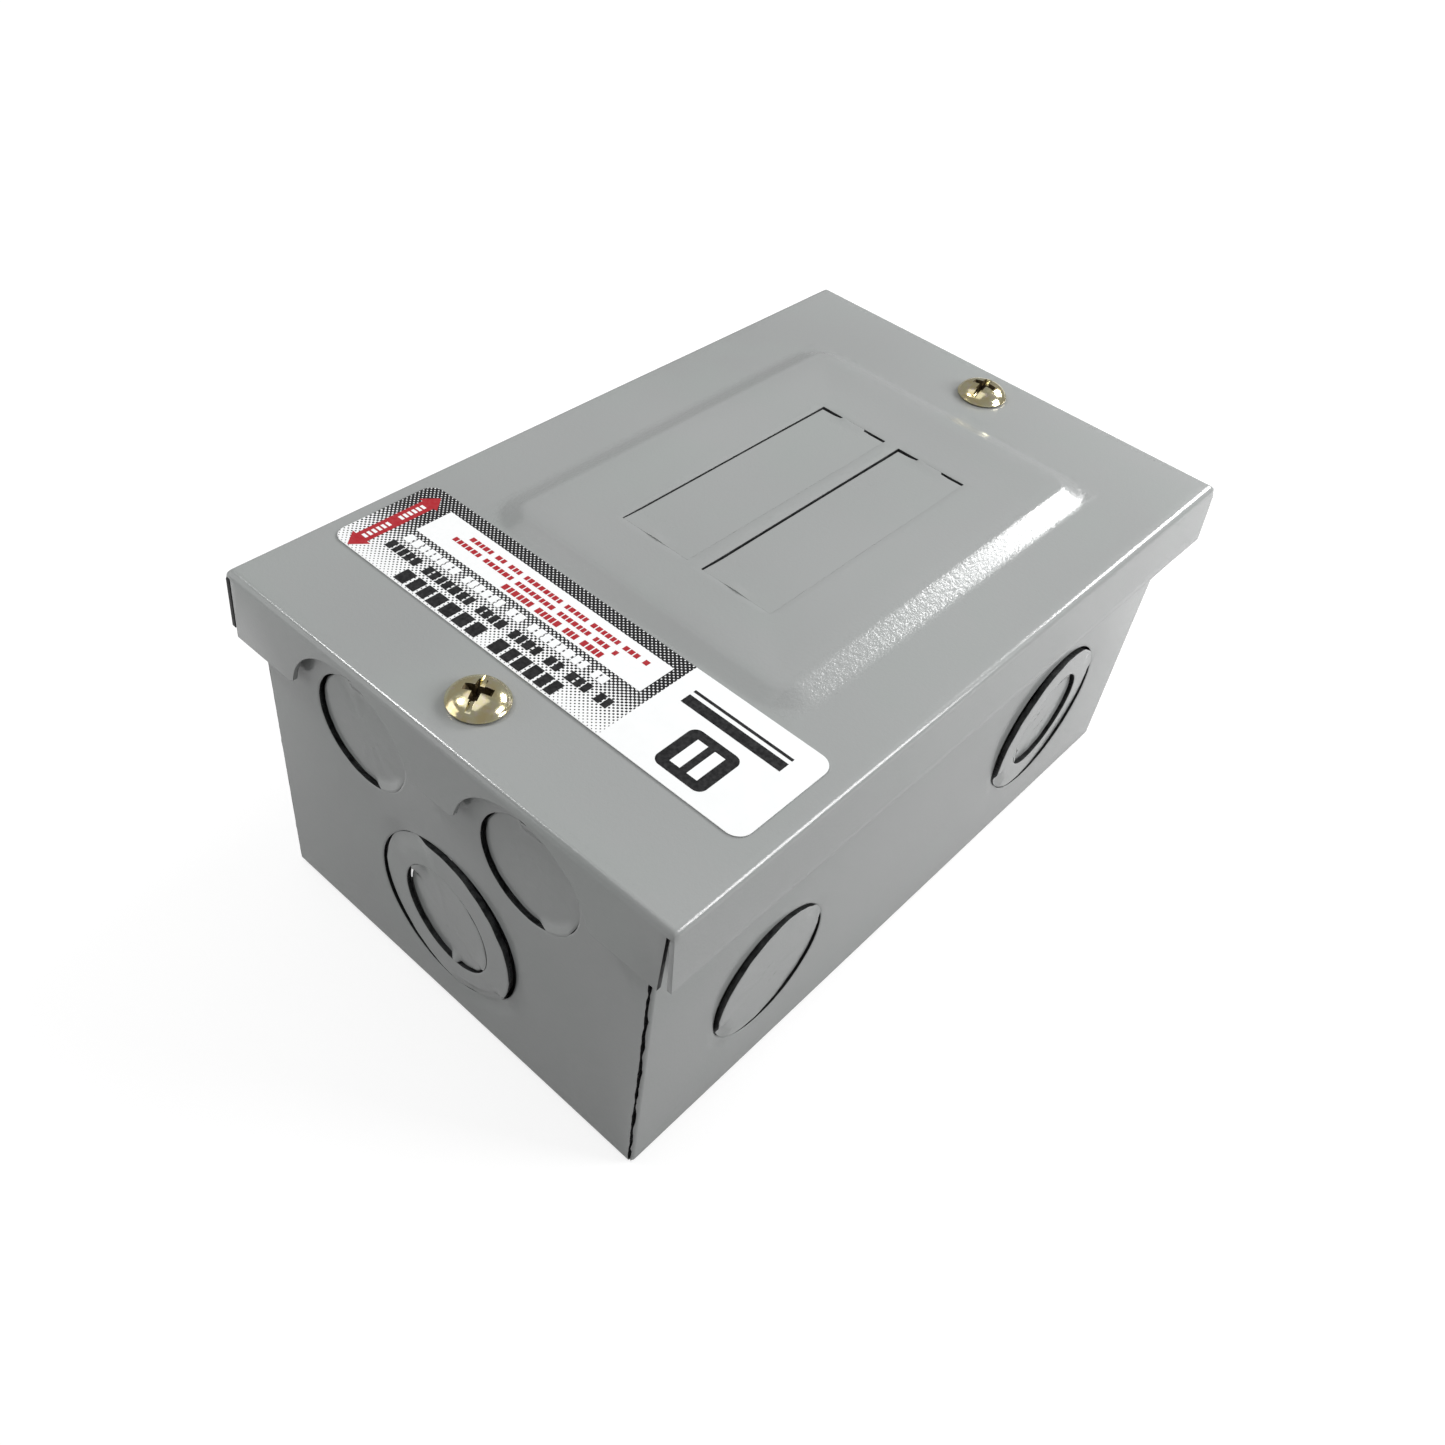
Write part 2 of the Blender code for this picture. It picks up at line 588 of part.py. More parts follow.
def make_cover_screw(end):
    """A truss-head screw with a cross recess and a slot across its head."""
    y = ENDS[end] * COVER_SCREW_Y
    seat = FACE_HEIGHT + GAP
    head = (seat, COVER_SCREW_HEAD_RADIUS, COVER_SCREW_HEAD_HEIGHT)
    profile = screw_profile(*head, COVER_SCREW_RADIUS, COVER_SCREW_LENGTH, dome_steps=5)
    screw = turned(f"cover_screw_{end}", profile, (0.0, y), COARSE_SIDES, YELLOW_ZINC)
    top = seat + COVER_SCREW_HEAD_HEIGHT
    width, length, depth = DRIVE_CROSS
    slot = drive_slot(f"cover_screw_{end}_slot", (0.0, y), top, *DRIVE_SLOT)
    cross_x = drive_slot(f"cover_screw_{end}_cross_x", (0.0, y), top, width, length, depth)
    cross_y = drive_slot(f"cover_screw_{end}_cross_y", (0.0, y), top, length, width, depth)
    boolean(screw, "DIFFERENCE", [slot, cross_x, cross_y])
    smooth(screw)
    return screw


# Knockouts. Each one is a slug of the wall, sheared round and left hanging on a tie.


def slug(name, face, centre, radius, stand, tie, bore=0.0, parent_stand=0.0):
    """A knockout disc, or a ring if it has a bore.

    face is the wall's axis letter and sign, centre the hole's (across, height), stand how far the slug stands
    out of the wall, and tie the (across, height) direction of its tie. The origin is on the fold line
    of the tie, level with the inner face of the sheet that holds it.
    """
    axis, sign = face
    across, height = centre
    outward = Vector((1, 0, 0)) if axis == "x" else Vector((0, 1, 0))
    along = Vector((0, 1, 0)) if axis == "x" else Vector((1, 0, 0))
    wall = WALL_X if axis == "x" else WALL_Y
    middle = along * across + Vector((0, 0, height))
    level = sign * (wall - SHEET / 2 + stand)
    bm = bmesh.new()
    add_cylinder(bm, middle + outward * level, radius - GAP, SHEET, outward)
    fold = middle + (along * tie[0] + Vector((0, 0, tie[1]))) * (radius - GAP / 2)
    origin = fold + outward * sign * (wall - SHEET + parent_stand)
    obj = finish(bm, name, PARTS, tuple(origin), GREY_PAINT)
    if bore:
        cutter = cylinder(f"{name}_bore", middle + outward * level, bore, 4 * SHEET, outward)
        boolean(obj, "DIFFERENCE", [cutter])
    smooth(obj)
    return obj


def concentric(prefix, face, centre, tie):
    """A one-inch ring that stands out of the wall, round a half-inch disc that stands in."""
    ring = slug(f"{prefix}_ring", face, centre, ONE_INCH, STRUCK, tie, bore=HALF_INCH)
    inner_tie = (-tie[0], -tie[1])
    disc = slug(f"{prefix}_disc", face, centre, HALF_INCH, -STRUCK, inner_tie, parent_stand=STRUCK)
    attach(disc, ring)
    return [ring, disc]


def make_knockouts(enclosure):
    slugs = []
    up = (0.0, 1.0)
    end_tie = (math.cos(END_TIE_ANGLE), math.sin(END_TIE_ANGLE))
    side_tie = (math.cos(SIDE_TIE_ANGLE), math.sin(SIDE_TIE_ANGLE))
    for end, y_sign in ENDS.items():
        face = ("y", y_sign)
        for side, x_sign in SIDES.items():
            centre = (x_sign * CORNER_KNOCKOUT_X, CORNER_KNOCKOUT_Z)
            slugs.append(slug(f"{end}_{side}_knockout", face, centre, HALF_INCH, -STRUCK, up))
        slugs += concentric(f"{end}_centre_knockout", face, (0.0, CENTRE_KNOCKOUT_Z), end_tie)
    for side, x_sign in SIDES.items():
        face = ("x", x_sign)
        name = f"{side}_upper_knockout"
        slugs.append(slug(name, face, UPPER_KNOCKOUT, THREE_QUARTER_INCH, STRUCK, side_tie))
        slugs += concentric(f"{side}_lower_knockout", face, LOWER_KNOCKOUT, side_tie)
    for obj in slugs:
        if obj.parent is None:
            attach(obj, enclosure)


# The interior: the insulating base with the line buses, and the neutral bar beside it.

def make_base(enclosure):
    """The moulded base: a slab with a barrier between the poles and a shelf for the breakers' feet."""
    low = (-BASE_HALF_WIDTH, BASE_START_Y, FLOOR)
    base = box("interior_base", low, (BASE_HALF_WIDTH, BASE_END_Y, BASE_TOP), PARTS, BLACK_MOULDING)
    sunk = BASE_TOP - JOIN_DEPTH
    low = (-BARRIER_HALF_THICKNESS, BASE_START_Y + BARRIER_INSET, sunk)
    barrier = box("barrier", low, (BARRIER_HALF_THICKNESS, BARRIER_END_Y, BARRIER_TOP))
    low = (-SHELF_HALF_WIDTH, SHELF_START_Y, sunk)
    shelf = box("shelf", low, (SHELF_HALF_WIDTH, SHELF_END_Y, BASE_TOP + SHELF_RISE))
    boolean(base, "UNION", [barrier, shelf])
    cuts = []
    for number, place in enumerate(BASE_SCREW_PLACES):
        centre = (*place, BASE_TOP)
        name = f"base_screw_hole_{number}"
        cuts.append(cylinder(name, centre, BACK_HOLE_RADIUS, 4 * BASE_TOP, UPRIGHT, SMALL_SIDES))
    for side, sign in SIDES.items():
        middle = sign * SLOT_X
        low = (middle - POCKET_SIDE / 2, -POCKET_HALF_LENGTH, BASE_TOP - POCKET_DEPTH)
        high = (middle + POCKET_SIDE / 2, POCKET_HALF_LENGTH, 2 * BASE_TOP)
        cuts.append(box(f"{side}_base_pocket", low, high))
    boolean(base, "DIFFERENCE", cuts)
    attach(base, enclosure)
    return base


def make_line_side(base, side):
    """One pole: the bus strip with its upright stab, and the lug and screw that clamp the line wire."""
    x = SIDES[side] * SLOT_X
    path = [(BASE_START_Y + BUS_INSET, BUS_LEVEL), (STAB_Y, BUS_LEVEL), (STAB_Y, STAB_TOP)]
    bus = strip(f"line_bus_{side}", path, BUS_WIDTH / 2, x, BUS_THICKNESS, TINNED_BUS)
    low = (x - LUG_HALF_WIDTH, LUG_CENTRE_Y - LUG_HALF_LENGTH, LUG_FOOT)
    high = (x + LUG_HALF_WIDTH, LUG_CENTRE_Y + LUG_HALF_LENGTH, LUG_TOP)
    lug = box(f"line_lug_{side}", low, high, PARTS, ALUMINIUM)
    wire_centre = (x, LUG_CENTRE_Y, LUG_FOOT + LUG_BORE_RISE)
    wire = cylinder(f"{side}_wire_bore", wire_centre, LUG_BORE, 4 * LUG_HALF_LENGTH, (0, 1, 0), COARSE_SIDES)
    depth = LUG_HEIGHT - LUG_BORE_RISE
    tap_radius = LUG_SCREW_RADIUS + RUNNING_CLEARANCE
    tap_centre = (x, LUG_CENTRE_Y, LUG_TOP)
    tap = cylinder(f"{side}_lug_tap", tap_centre, tap_radius, 2 * depth, UPRIGHT, COARSE_SIDES)
    boolean(lug, "DIFFERENCE", [wire, tap])
    top = LUG_TOP + LUG_SCREW_RISE
    name = f"line_lug_screw_{side}"
    screw = make_set_screw(name, (x, LUG_CENTRE_Y), top, LUG_SCREW_RADIUS, LUG_SCREW_LENGTH)
    for obj in (bus, lug, screw):
        attach(obj, base)


def make_set_screw(name, centre, top, radius, length):
    """A headless slotted screw."""
    chamfer = SET_SCREW_CHAMFER
    bottom = top - length
    profile = [(0.0, top), (radius - chamfer, top), (radius, top - chamfer)]
    profile += [(radius, bottom + chamfer), (radius - chamfer, bottom), (0.0, bottom)]
    screw = turned(name, profile, centre, SMALL_SIDES, ZINC_STEEL)
    width, depth = SET_SCREW_SLOT
    boolean(screw, "DIFFERENCE", [drive_slot(f"{name}_slot", centre, top, width, 3 * radius, depth)])
    smooth(screw)
    return screw


def make_headed_screw(name, centre, seat, head_radius, length, material):
    """A small pan-head screw with a slot."""
    profile = screw_profile(seat, head_radius, PAN_HEAD_HEIGHT, TERMINAL_RADIUS, length, dome_steps=3)
    screw = turned(name, profile, centre, SMALL_SIDES, material)
    width, depth = PAN_HEAD_SLOT
    top = seat + PAN_HEAD_HEIGHT
    boolean(screw, "DIFFERENCE", [drive_slot(f"{name}_slot", centre, top, width, 3 * head_radius, depth)])
    smooth(screw)
    return screw


def make_base_screws(base):
    seat = BASE_TOP + GAP
    reach = seat - SHEET / 3
    for number, place in enumerate(BASE_SCREW_PLACES):
        name = f"base_screw_{number + 1}"
        attach(make_headed_screw(name, place, seat, BASE_SCREW_HEAD_RADIUS, reach, ZINC_STEEL), base)


def make_hook_rail(base):
    """The folded steel rail that the breakers' feet hook under."""
    level = BASE_TOP + GAP + HOOK_THICKNESS / 2
    path = [(HOOK_START_Y, level), (HOOK_BACK_Y, level), (HOOK_BACK_Y, HOOK_TOP), (HOOK_TIP_Y, HOOK_TOP)]
    rail = strip("hook_rail", path, SHELF_HALF_WIDTH, 0.0, HOOK_THICKNESS, ZINC_STEEL)
    attach(rail, base)


def wire_hole_and_tap(prefix, y, bore, bore_rise, screw_radius):
    """Cutters for one place of the neutral bar: the wire's hole across it and the screw's hole in its top."""
    level = NEUTRAL_FOOT + bore_rise
    wire_centre = (NEUTRAL_X, y, level)
    wire = cylinder(f"{prefix}_wire_hole", wire_centre, bore, 2 * NEUTRAL_BAR_SIDE, (1, 0, 0), SMALL_SIDES)
    tap_radius = screw_radius + RUNNING_CLEARANCE
    tap_centre = (NEUTRAL_X, y, NEUTRAL_TOP)
    depth = 2 * (NEUTRAL_TOP - level)
    return [wire, cylinder(f"{prefix}_tap", tap_centre, tap_radius, depth, UPRIGHT, SMALL_SIDES)]


def neutral_screw_holes(prefix):
    """Cutters for the two screws that hold the bar and its block to the back."""
    radius = TERMINAL_RADIUS + 2 * RUNNING_CLEARANCE
    holes = []
    for number, place in enumerate((BONDING_PLACE, NEUTRAL_SCREW_PLACE)):
        centre = (*place, NEUTRAL_FOOT)
        name = f"{prefix}_hole_{number}"
        holes.append(cylinder(name, centre, radius, 4 * NEUTRAL_TOP, UPRIGHT, SMALL_SIDES))
    return holes


def make_neutral(enclosure):
    half = NEUTRAL_BAR_SIDE / 2
    low = (NEUTRAL_X - half - BLOCK_FLANGE, NEUTRAL_START_Y + BLOCK_INSET, FLOOR)
    high = (NEUTRAL_X + half + BLOCK_FLANGE, NEUTRAL_END_Y - BLOCK_INSET, NEUTRAL_FOOT - GAP)
    block = box("neutral_insulator", low, high, PARTS, BLACK_MOULDING)
    boolean(block, "DIFFERENCE", neutral_screw_holes("neutral_insulator"))
    low = (NEUTRAL_X - half, NEUTRAL_START_Y, NEUTRAL_FOOT)
    bar = box("neutral_bar", low, (NEUTRAL_X + half, NEUTRAL_END_Y, NEUTRAL_TOP), PARTS, ALUMINIUM)
    cuts = neutral_screw_holes("neutral_bar")
    lug = (NEUTRAL_LUG_Y, NEUTRAL_LUG_BORE, NEUTRAL_LUG_BORE_RISE, NEUTRAL_LUG_SCREW_RADIUS)
    cuts += wire_hole_and_tap("neutral_lug", *lug)
    top = NEUTRAL_TOP + TERMINAL_SCREW_RISE
    size = (NEUTRAL_LUG_SCREW_RADIUS, NEUTRAL_LUG_SCREW_LENGTH)
    screws = [make_set_screw("neutral_lug_screw", (NEUTRAL_X, NEUTRAL_LUG_Y), top, *size)]
    for number in range(TERMINAL_COUNT):
        y = TERMINAL_START_Y + number * TERMINAL_PITCH
        prefix = f"terminal_{number}"
        cuts += wire_hole_and_tap(prefix, y, TERMINAL_BORE, TERMINAL_BORE_RISE, TERMINAL_RADIUS)
        name = f"neutral_terminal_screw_{number + 1}"
        screws.append(make_set_screw(name, (NEUTRAL_X, y), top, TERMINAL_RADIUS, TERMINAL_SCREW_LENGTH))
    boolean(bar, "DIFFERENCE", cuts)
    seat = NEUTRAL_TOP + GAP
    reach = seat - SHEET / 3
    head = (seat, PAN_HEAD_RADIUS, reach)
    screws.append(make_headed_screw("bonding_screw", BONDING_PLACE, *head, GREEN_SCREW))
    screws.append(make_headed_screw("neutral_bar_screw", NEUTRAL_SCREW_PLACE, *head, ZINC_STEEL))
    for obj in [block, bar] + screws:
        attach(obj, enclosure)


def build():
    enclosure = make_enclosure()
    make_knockouts(enclosure)
    cover = make_cover()
    attach(cover, enclosure)
    riders = [make_label()]
    riders += [make_twist_out(side) for side in SIDES]
    riders += [make_cover_screw(end) for end in ENDS]
    for obj in riders:
        attach(obj, cover)
    base = make_base(enclosure)
    for side in SIDES:
        make_line_side(base, side)
    make_hook_rail(base)
    make_base_screws(base)
    make_neutral(enclosure)


build()
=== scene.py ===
"""The looks of a small two-space residential load center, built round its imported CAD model.

Metres, in the CAD frame: the back lies on z = 0, +Z is out of the wall, -Y is the end that is uppermost on a
wall, and +X is the left side as seen from the front.
"""

import random
from math import acos, asin, atan2, copysign, cos, exp, hypot, pi, radians, sin, sqrt, tau

import bmesh
import bpy
from mathutils import Euler, Matrix, Vector, noise


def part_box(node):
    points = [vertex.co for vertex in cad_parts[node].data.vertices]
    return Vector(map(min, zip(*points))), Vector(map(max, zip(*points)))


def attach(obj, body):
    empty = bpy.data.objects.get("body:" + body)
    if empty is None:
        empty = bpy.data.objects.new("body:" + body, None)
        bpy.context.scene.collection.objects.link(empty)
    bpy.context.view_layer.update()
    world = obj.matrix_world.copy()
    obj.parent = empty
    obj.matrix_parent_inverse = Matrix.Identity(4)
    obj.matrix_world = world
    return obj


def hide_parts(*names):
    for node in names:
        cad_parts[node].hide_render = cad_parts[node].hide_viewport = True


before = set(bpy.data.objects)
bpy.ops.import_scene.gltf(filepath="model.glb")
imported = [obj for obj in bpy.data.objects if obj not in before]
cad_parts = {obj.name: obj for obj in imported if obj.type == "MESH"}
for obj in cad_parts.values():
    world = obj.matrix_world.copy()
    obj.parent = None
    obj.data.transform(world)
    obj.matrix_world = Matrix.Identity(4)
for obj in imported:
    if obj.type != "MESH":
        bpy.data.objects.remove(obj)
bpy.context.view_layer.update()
DRAWS = random.Random(7)

# Sizes that the CAD boxes give.
COVER_LOW, COVER_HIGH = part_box("cover")
LABEL_LOW, LABEL_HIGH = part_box("label")
HALF_WIDTH, HALF_LENGTH, COVER_TOP = COVER_HIGH
WALL_X, WALL_Y, WALL_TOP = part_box("enclosure")[1]
PANEL_RISE = 0.0016
FACE = COVER_TOP - PANEL_RISE  # the flat of the cover, round the raised panel
SKIRT_FOOT = COVER_LOW.z
SHEET = 0.0012
COVER_SHEET = 0.0009

# The cover.
FOLD = 0.0014  # outer radius of the folds
FOLD_STEPS = 8
SIDE_SKIRT = 0.0128
SIDE_FLARE = 0.0007  # how far a side skirt's free edge leans out
SKIRT_TAPERS = (0.0005, 0.0019)  # how far short of its -X and +X corners the foot of an end skirt stops
SIDE_SKIRT_END = 0.00005  # how far short of the corner a side skirt ends
SKIRT_MARGIN = 0.0002  # width of the strips of faces along an end skirt's top and foot, which keep the rest flat
SLIT = 0.0008  # how far below the fold a side skirt's end is square
NOTCH_RADIUS = 0.0150
NOTCH_LIP = 0.0007
PANEL_HALF = (0.0362, 0.0488)  # to the foot of the ramp
PANEL_MIDDLE_Y = 0.0096
PANEL_CORNER = 0.0085
RAMP = 0.0056
RAMP_EASE = 0.26  # share of the ramp that is rounded at its foot, and again at its top
RIM_RISE = 0.00022
RIM_RUN = 0.0045
DISH = 0.00030

# The breaker slots.
SLOT_X = 0.009525
SLOT_HALF = (0.0079, 0.0290)
SLOT_MIDDLE_Y = 0.0080

# Knockouts.
HALF_INCH = 0.0111
THREE_QUARTER_INCH = 0.0141
ONE_INCH = 0.01745
CORNER_KNOCKOUT = (0.0202, 0.0560)
CENTRE_KNOCKOUT_Z = 0.0255
UPPER_KNOCKOUT = (-0.0460, 0.0265)
LOWER_KNOCKOUT = (0.0430, 0.0285)
SIDE_TIE = 30
LIP = 0.00045  # width of the rolled edge round a punched hole
LIP_DROP = 0.00012

SIDES = {"left": 1, "right": -1}
ENDS = {"top": -1, "bottom": 1}
UP = Vector((0, 0, 1))


# Node materials.


class Shader:
    """A node material in the making: each method adds nodes and gives back an output socket."""

    def __init__(self, name):
        self.material = bpy.data.materials.new(name)
        self.material.use_nodes = True
        self.tree = self.material.node_tree
        self.surface = self.tree.nodes["Principled BSDF"]
        self.place = self.add("TexCoord", "Object")

    def link(self, source, target):
        if isinstance(source, (int, float, tuple)):
            target.default_value = source
        else:
            self.tree.links.new(source, target)

    def paint(self, colour, roughness, normal=None, **others):
        """Sets the surface's inputs, and gives back the finished material."""
        inputs = {"Base Color": colour, "Roughness": roughness, **others}
        if normal:
            inputs["Normal"] = normal
        for name, value in inputs.items():
            self.link(value, self.surface.inputs[name.replace("_", " ")])
        return self.material

    def add(self, kind, output, inputs=(), **settings):
        """A new node, with values or links on its inputs by name or by number."""
        node = self.tree.nodes.new(f"ShaderNode{kind}")
        for name, value in settings.items():
            setattr(node, name, value)
        for name, value in dict(inputs).items():
            self.link(value, node.inputs[name])
        return node.outputs[output]

    def math(self, operation, *values):
        return self.add("Math", 0, enumerate(values), operation=operation)

    def times(self, first, second):
        return self.math("MULTIPLY", first, second)

    def axis(self, letter, place=None):
        return self.add("SeparateXYZ", letter, {0: place or self.place})

    def noise(self, scale, detail=2.0, roughness=0.5, place=None):
        inputs = {"Scale": scale, "Detail": detail, "Roughness": roughness, "Vector": place or self.place}
        return self.add("TexNoise", "Fac", inputs)

    def stretched(self, factors):
        return self.add("Mapping", 0, {"Scale": factors, "Vector": self.place})

    def span(self, value, low=0.3, high=0.7, to_low=0.0, to_high=1.0):
        """The value, from low to high, carried over to to_low to to_high."""
        return self.add("MapRange", 0, enumerate((value, low, high, to_low, to_high)))

    def mix(self, share, first, second):
        return self.add("Mix", 2, {0: share, 6: first, 7: second}, data_type="RGBA")

    def bump(self, height, distance, strength=1.0, under=None):
        inputs = {"Strength": strength, "Distance": distance, "Height": height}
        return self.add("Bump", 0, {**inputs, "Normal": under} if under else inputs)


def tone(red, green, blue):
    return (red, green, blue, 1.0)


def scaled(base, factor):
    return tone(*(min(1.0, factor * value) for value in base))


def specks(shader, scale, size, share, offset):
    """A mask of small scattered flecks, in that share of the cells."""
    place = shader.add("VectorMath", 0, {0: shader.place, 1: (offset, 2 * offset, 3 * offset)})
    distance = shader.add("TexVoronoi", "Distance", {"Scale": scale, "Vector": place})
    colour = distance.node.outputs["Color"]
    chosen = shader.math("LESS_THAN", shader.axis("X", colour), share)
    near = shader.math("LESS_THAN", distance, shader.times(shader.axis("Y", colour), size))
    return shader.times(chosen, near)


def drawn_band(shader):
    """A mask of the side ramps of the cover's raised panel, where the sheet was stretched."""
    x = shader.math("ABSOLUTE", shader.axis("X"))
    along = shader.math("ABSOLUTE", shader.math("SUBTRACT", shader.axis("Y"), PANEL_MIDDLE_Y))
    inner = shader.span(x, PANEL_HALF[0] - RAMP - 0.0004, PANEL_HALF[0] - RAMP + 0.0006)
    outer = shader.span(x, PANEL_HALF[0] - 0.0006, PANEL_HALF[0] + 0.0004, 1.0, 0.0)
    ends = shader.span(along, PANEL_HALF[1] - 0.002, PANEL_HALF[1], 1.0, 0.0)
    return shader.times(shader.times(inner, outer), ends)


def enamel(name, drawn=False):
    """Glossy baked paint, wavy and uneven, with a few flecks. Where drawn, the cover's ramps have a coarser grain."""
    shader = Shader(name)
    slow = shader.noise(14, detail=1.0)
    blotch = shader.noise(55, detail=3.0)
    grain = shader.noise(2600, detail=1.0)
    colour = shader.mix(shader.span(slow), scaled(GREY, 0.94), scaled(GREY, 1.06))
    green = tone(GREY[0] * 0.97, GREY[1] * 1.02, GREY[2] * 0.99)
    colour = shader.mix(shader.span(blotch, 0.45, 0.75, 0.0, 0.5), colour, green)
    colour = shader.mix(specks(shader, 75, 0.030, 0.10, 0.31), colour, tone(0.06, 0.06, 0.06))
    colour = shader.mix(specks(shader, 60, 0.028, 0.08, 1.73), colour, tone(0.85, 0.87, 0.85))
    peel = shader.bump(shader.noise(1500, roughness=0.6), 0.000040, 0.70)
    normal = shader.bump(shader.noise(60, detail=1.0), 0.00035, 0.12, under=peel)
    if drawn:
        stretched = shader.noise(1.0, detail=3.0, roughness=0.7, place=shader.stretched((1400, 900, 900)))
        normal = shader.bump(shader.times(stretched, drawn_band(shader)), 0.00012, 0.9, under=normal)
    rough = shader.span(grain, 0.2, 0.8, 0.16, 0.25)
    return shader.paint(colour, rough, normal, Coat_Weight=0.25, Coat_Roughness=0.10)


def grained(name, grain, band, low, high, rough, relief=(), **settings):
    """A material whose tone, roughness and relief all follow one noise."""
    shader = Shader(name)
    height = shader.noise(*grain)
    colour = shader.mix(shader.span(height, *band), tone(*low), tone(*high))
    normal = shader.bump(height, *relief) if relief else None
    return shader.paint(colour, shader.span(height, 0.3, 0.7, *rough), normal, **settings)


def yellow_zinc():
    """Bright yellow chromate: gold with pale pink and green patches."""
    shader = Shader("yellow_zinc")
    patch = shader.noise(420)
    film = shader.noise(900, detail=1.0)
    colour = shader.mix(shader.span(patch, 0.35, 0.65), tone(0.78, 0.66, 0.36), tone(0.80, 0.76, 0.50))
    colour = shader.mix(shader.span(film, 0.52, 0.75, 0.0, 0.6), colour, tone(0.84, 0.72, 0.66))
    rough = shader.span(shader.noise(1500), 0.3, 0.7, 0.10, 0.20)
    ripple = shader.bump(shader.noise(700, detail=3.0), 0.00003, 0.5)
    return shader.paint(colour, rough, ripple, Metallic=1.0)


def painted_shade_material(name, low, high):
    """Painted shade for a deep recess or a narrow slit: dark tones that vary with a fine grain, with a little relief
    and a metallic gloss.
    """
    return grained(name, (1800,), (0.3, 0.7), low, high, (0.35, 0.6), (0.00004, 0.5), Metallic=0.6)


def brushed(name, base, roughness, direction, metallic=1.0):
    """Rolled or drawn metal, streaked along one axis."""
    shader = Shader(name)
    factors = tuple(14.0 if letter == direction else 420.0 for letter in "XYZ")
    streak = shader.noise(1.0, detail=4.0, roughness=0.65, place=shader.stretched(factors))
    cloud = shader.noise(160)
    colour = shader.mix(shader.span(streak), scaled(base, 0.80), tone(*base))
    colour = shader.mix(shader.span(cloud, 0.55, 0.8, 0.0, 0.5), colour, scaled(base, 0.72))
    rough = shader.span(streak, 0.3, 0.7, roughness + 0.09, roughness - 0.05)
    return shader.paint(colour, rough, shader.bump(streak, 0.00003, 0.5), Metallic=metallic)


def moulding(name, base):
    """Black thermoset: a fine matt grain with slightly polished high spots."""
    shader = Shader(name)
    grain = shader.noise(2200, detail=3.0, roughness=0.7)
    cloud = shader.noise(90)
    colour = shader.mix(shader.span(cloud, 0.35), tone(*base), scaled(base, 1.7))
    rough = shader.span(grain, 0.3, 0.7, 0.42, 0.58)
    return shader.paint(colour, rough, shader.bump(grain, 0.00004, 0.6))


def ink(name, base):
    """Matt printing ink, a little worn."""
    worn = [value + 0.02 for value in base]
    return grained(name, (1700,), (0.35, 0.7), base, worn, (0.34, 0.46), Specular_IOR_Level=0.2)


def halftone_vinyl():
    """The label's white film, with a printed halftone that thins out from its lower edge to its upper one."""
    shader = Shader("label_vinyl")
    x, y = shader.axis("X"), shader.axis("Y")
    turns = tau / HALFTONE_PITCH * sqrt(0.5)
    along = shader.math("COSINE", shader.times(shader.math("ADD", x, y), turns))
    across = shader.math("COSINE", shader.times(shader.math("SUBTRACT", x, y), turns))
    dots = shader.math("ADD", along, across)
    cover = shader.span(y, LABEL_LOW.y, LABEL_LOW.y + 0.0145, -1.55, 1.15)
    black = shader.span(shader.math("SUBTRACT", cover, dots), -0.16, 0.16)
    black = shader.times(black, shader.math("LESS_THAN", x, HALFTONE_END_X))
    white = shader.mix(shader.noise(300), tone(0.86, 0.87, 0.87), tone(0.91, 0.92, 0.92))
    colour = shader.mix(black, white, tone(0.012, 0.012, 0.013))
    rough = shader.span(shader.noise(900), 0.3, 0.7, 0.34, 0.44)
    normal = shader.bump(shader.noise(120), 0.00008, 0.35)
    return shader.paint(colour, rough, normal, Specular_IOR_Level=0.25)


def grey(level):
    return tone(level, level, level)


def floor_paint():
    """A floor that glows nearly white to the camera, and has other tones in gloss and in bounced light."""
    shader = Shader("pale_floor")
    pale = shader.mix(shader.noise(9), grey(0.34), grey(0.35))
    to_gloss = shader.add("LightPath", "Is Glossy Ray")
    to_camera = to_gloss.node.outputs["Is Camera Ray"]
    colour = shader.mix(to_camera, shader.mix(to_gloss, grey(0.30), grey(0.70)), pale)
    glow = shader.times(to_camera, 0.74)
    return shader.paint(colour, 0.85, Specular_IOR_Level=0.1, Emission_Color=grey(1), Emission_Strength=glow)


HALFTONE_PITCH = 0.00066
HALFTONE_END_X = 0.0173

GREY = (0.335, 0.345, 0.342)

PAINT = enamel("grey_paint")
# Painted shade for the rims of the sheet, the cut edges in holes, slots, gaps and seams, which lie in shade: near
# black, streaky, with a wet gloss.
RIM_SHADE_TONES = ((0.012, 0.013, 0.014), (0.085, 0.088, 0.088))
RIM_SHADE = grained("rim_painted_shade", (900, 3.0), (0.35, 0.75), *RIM_SHADE_TONES, (0.42, 0.22), (0.00006, 0.7))
PAINT_AND_RIM_SHADE = [PAINT, RIM_SHADE]
COVER_PAINT = enamel("cover_paint", drawn=True)
YELLOW_ZINC = yellow_zinc()
# Painted shade: the bottom of the screws' cross recesses, and the slits at the cover's corners.
RECESS_SHADE = painted_shade_material("recess_painted_shade", (0.020, 0.012, 0.006), (0.10, 0.070, 0.025))
SLIT_SHADE = painted_shade_material("slit_painted_shade", (0.006, 0.006, 0.007), (0.024, 0.025, 0.026))
VINYL = halftone_vinyl()
BLACK_INK = ink("black_ink", (0.012, 0.012, 0.013))
RED_INK = ink("red_ink", (0.40, 0.018, 0.026))
WHITE_INK = ink("white_ink", (0.88, 0.89, 0.89))


# Meshes.


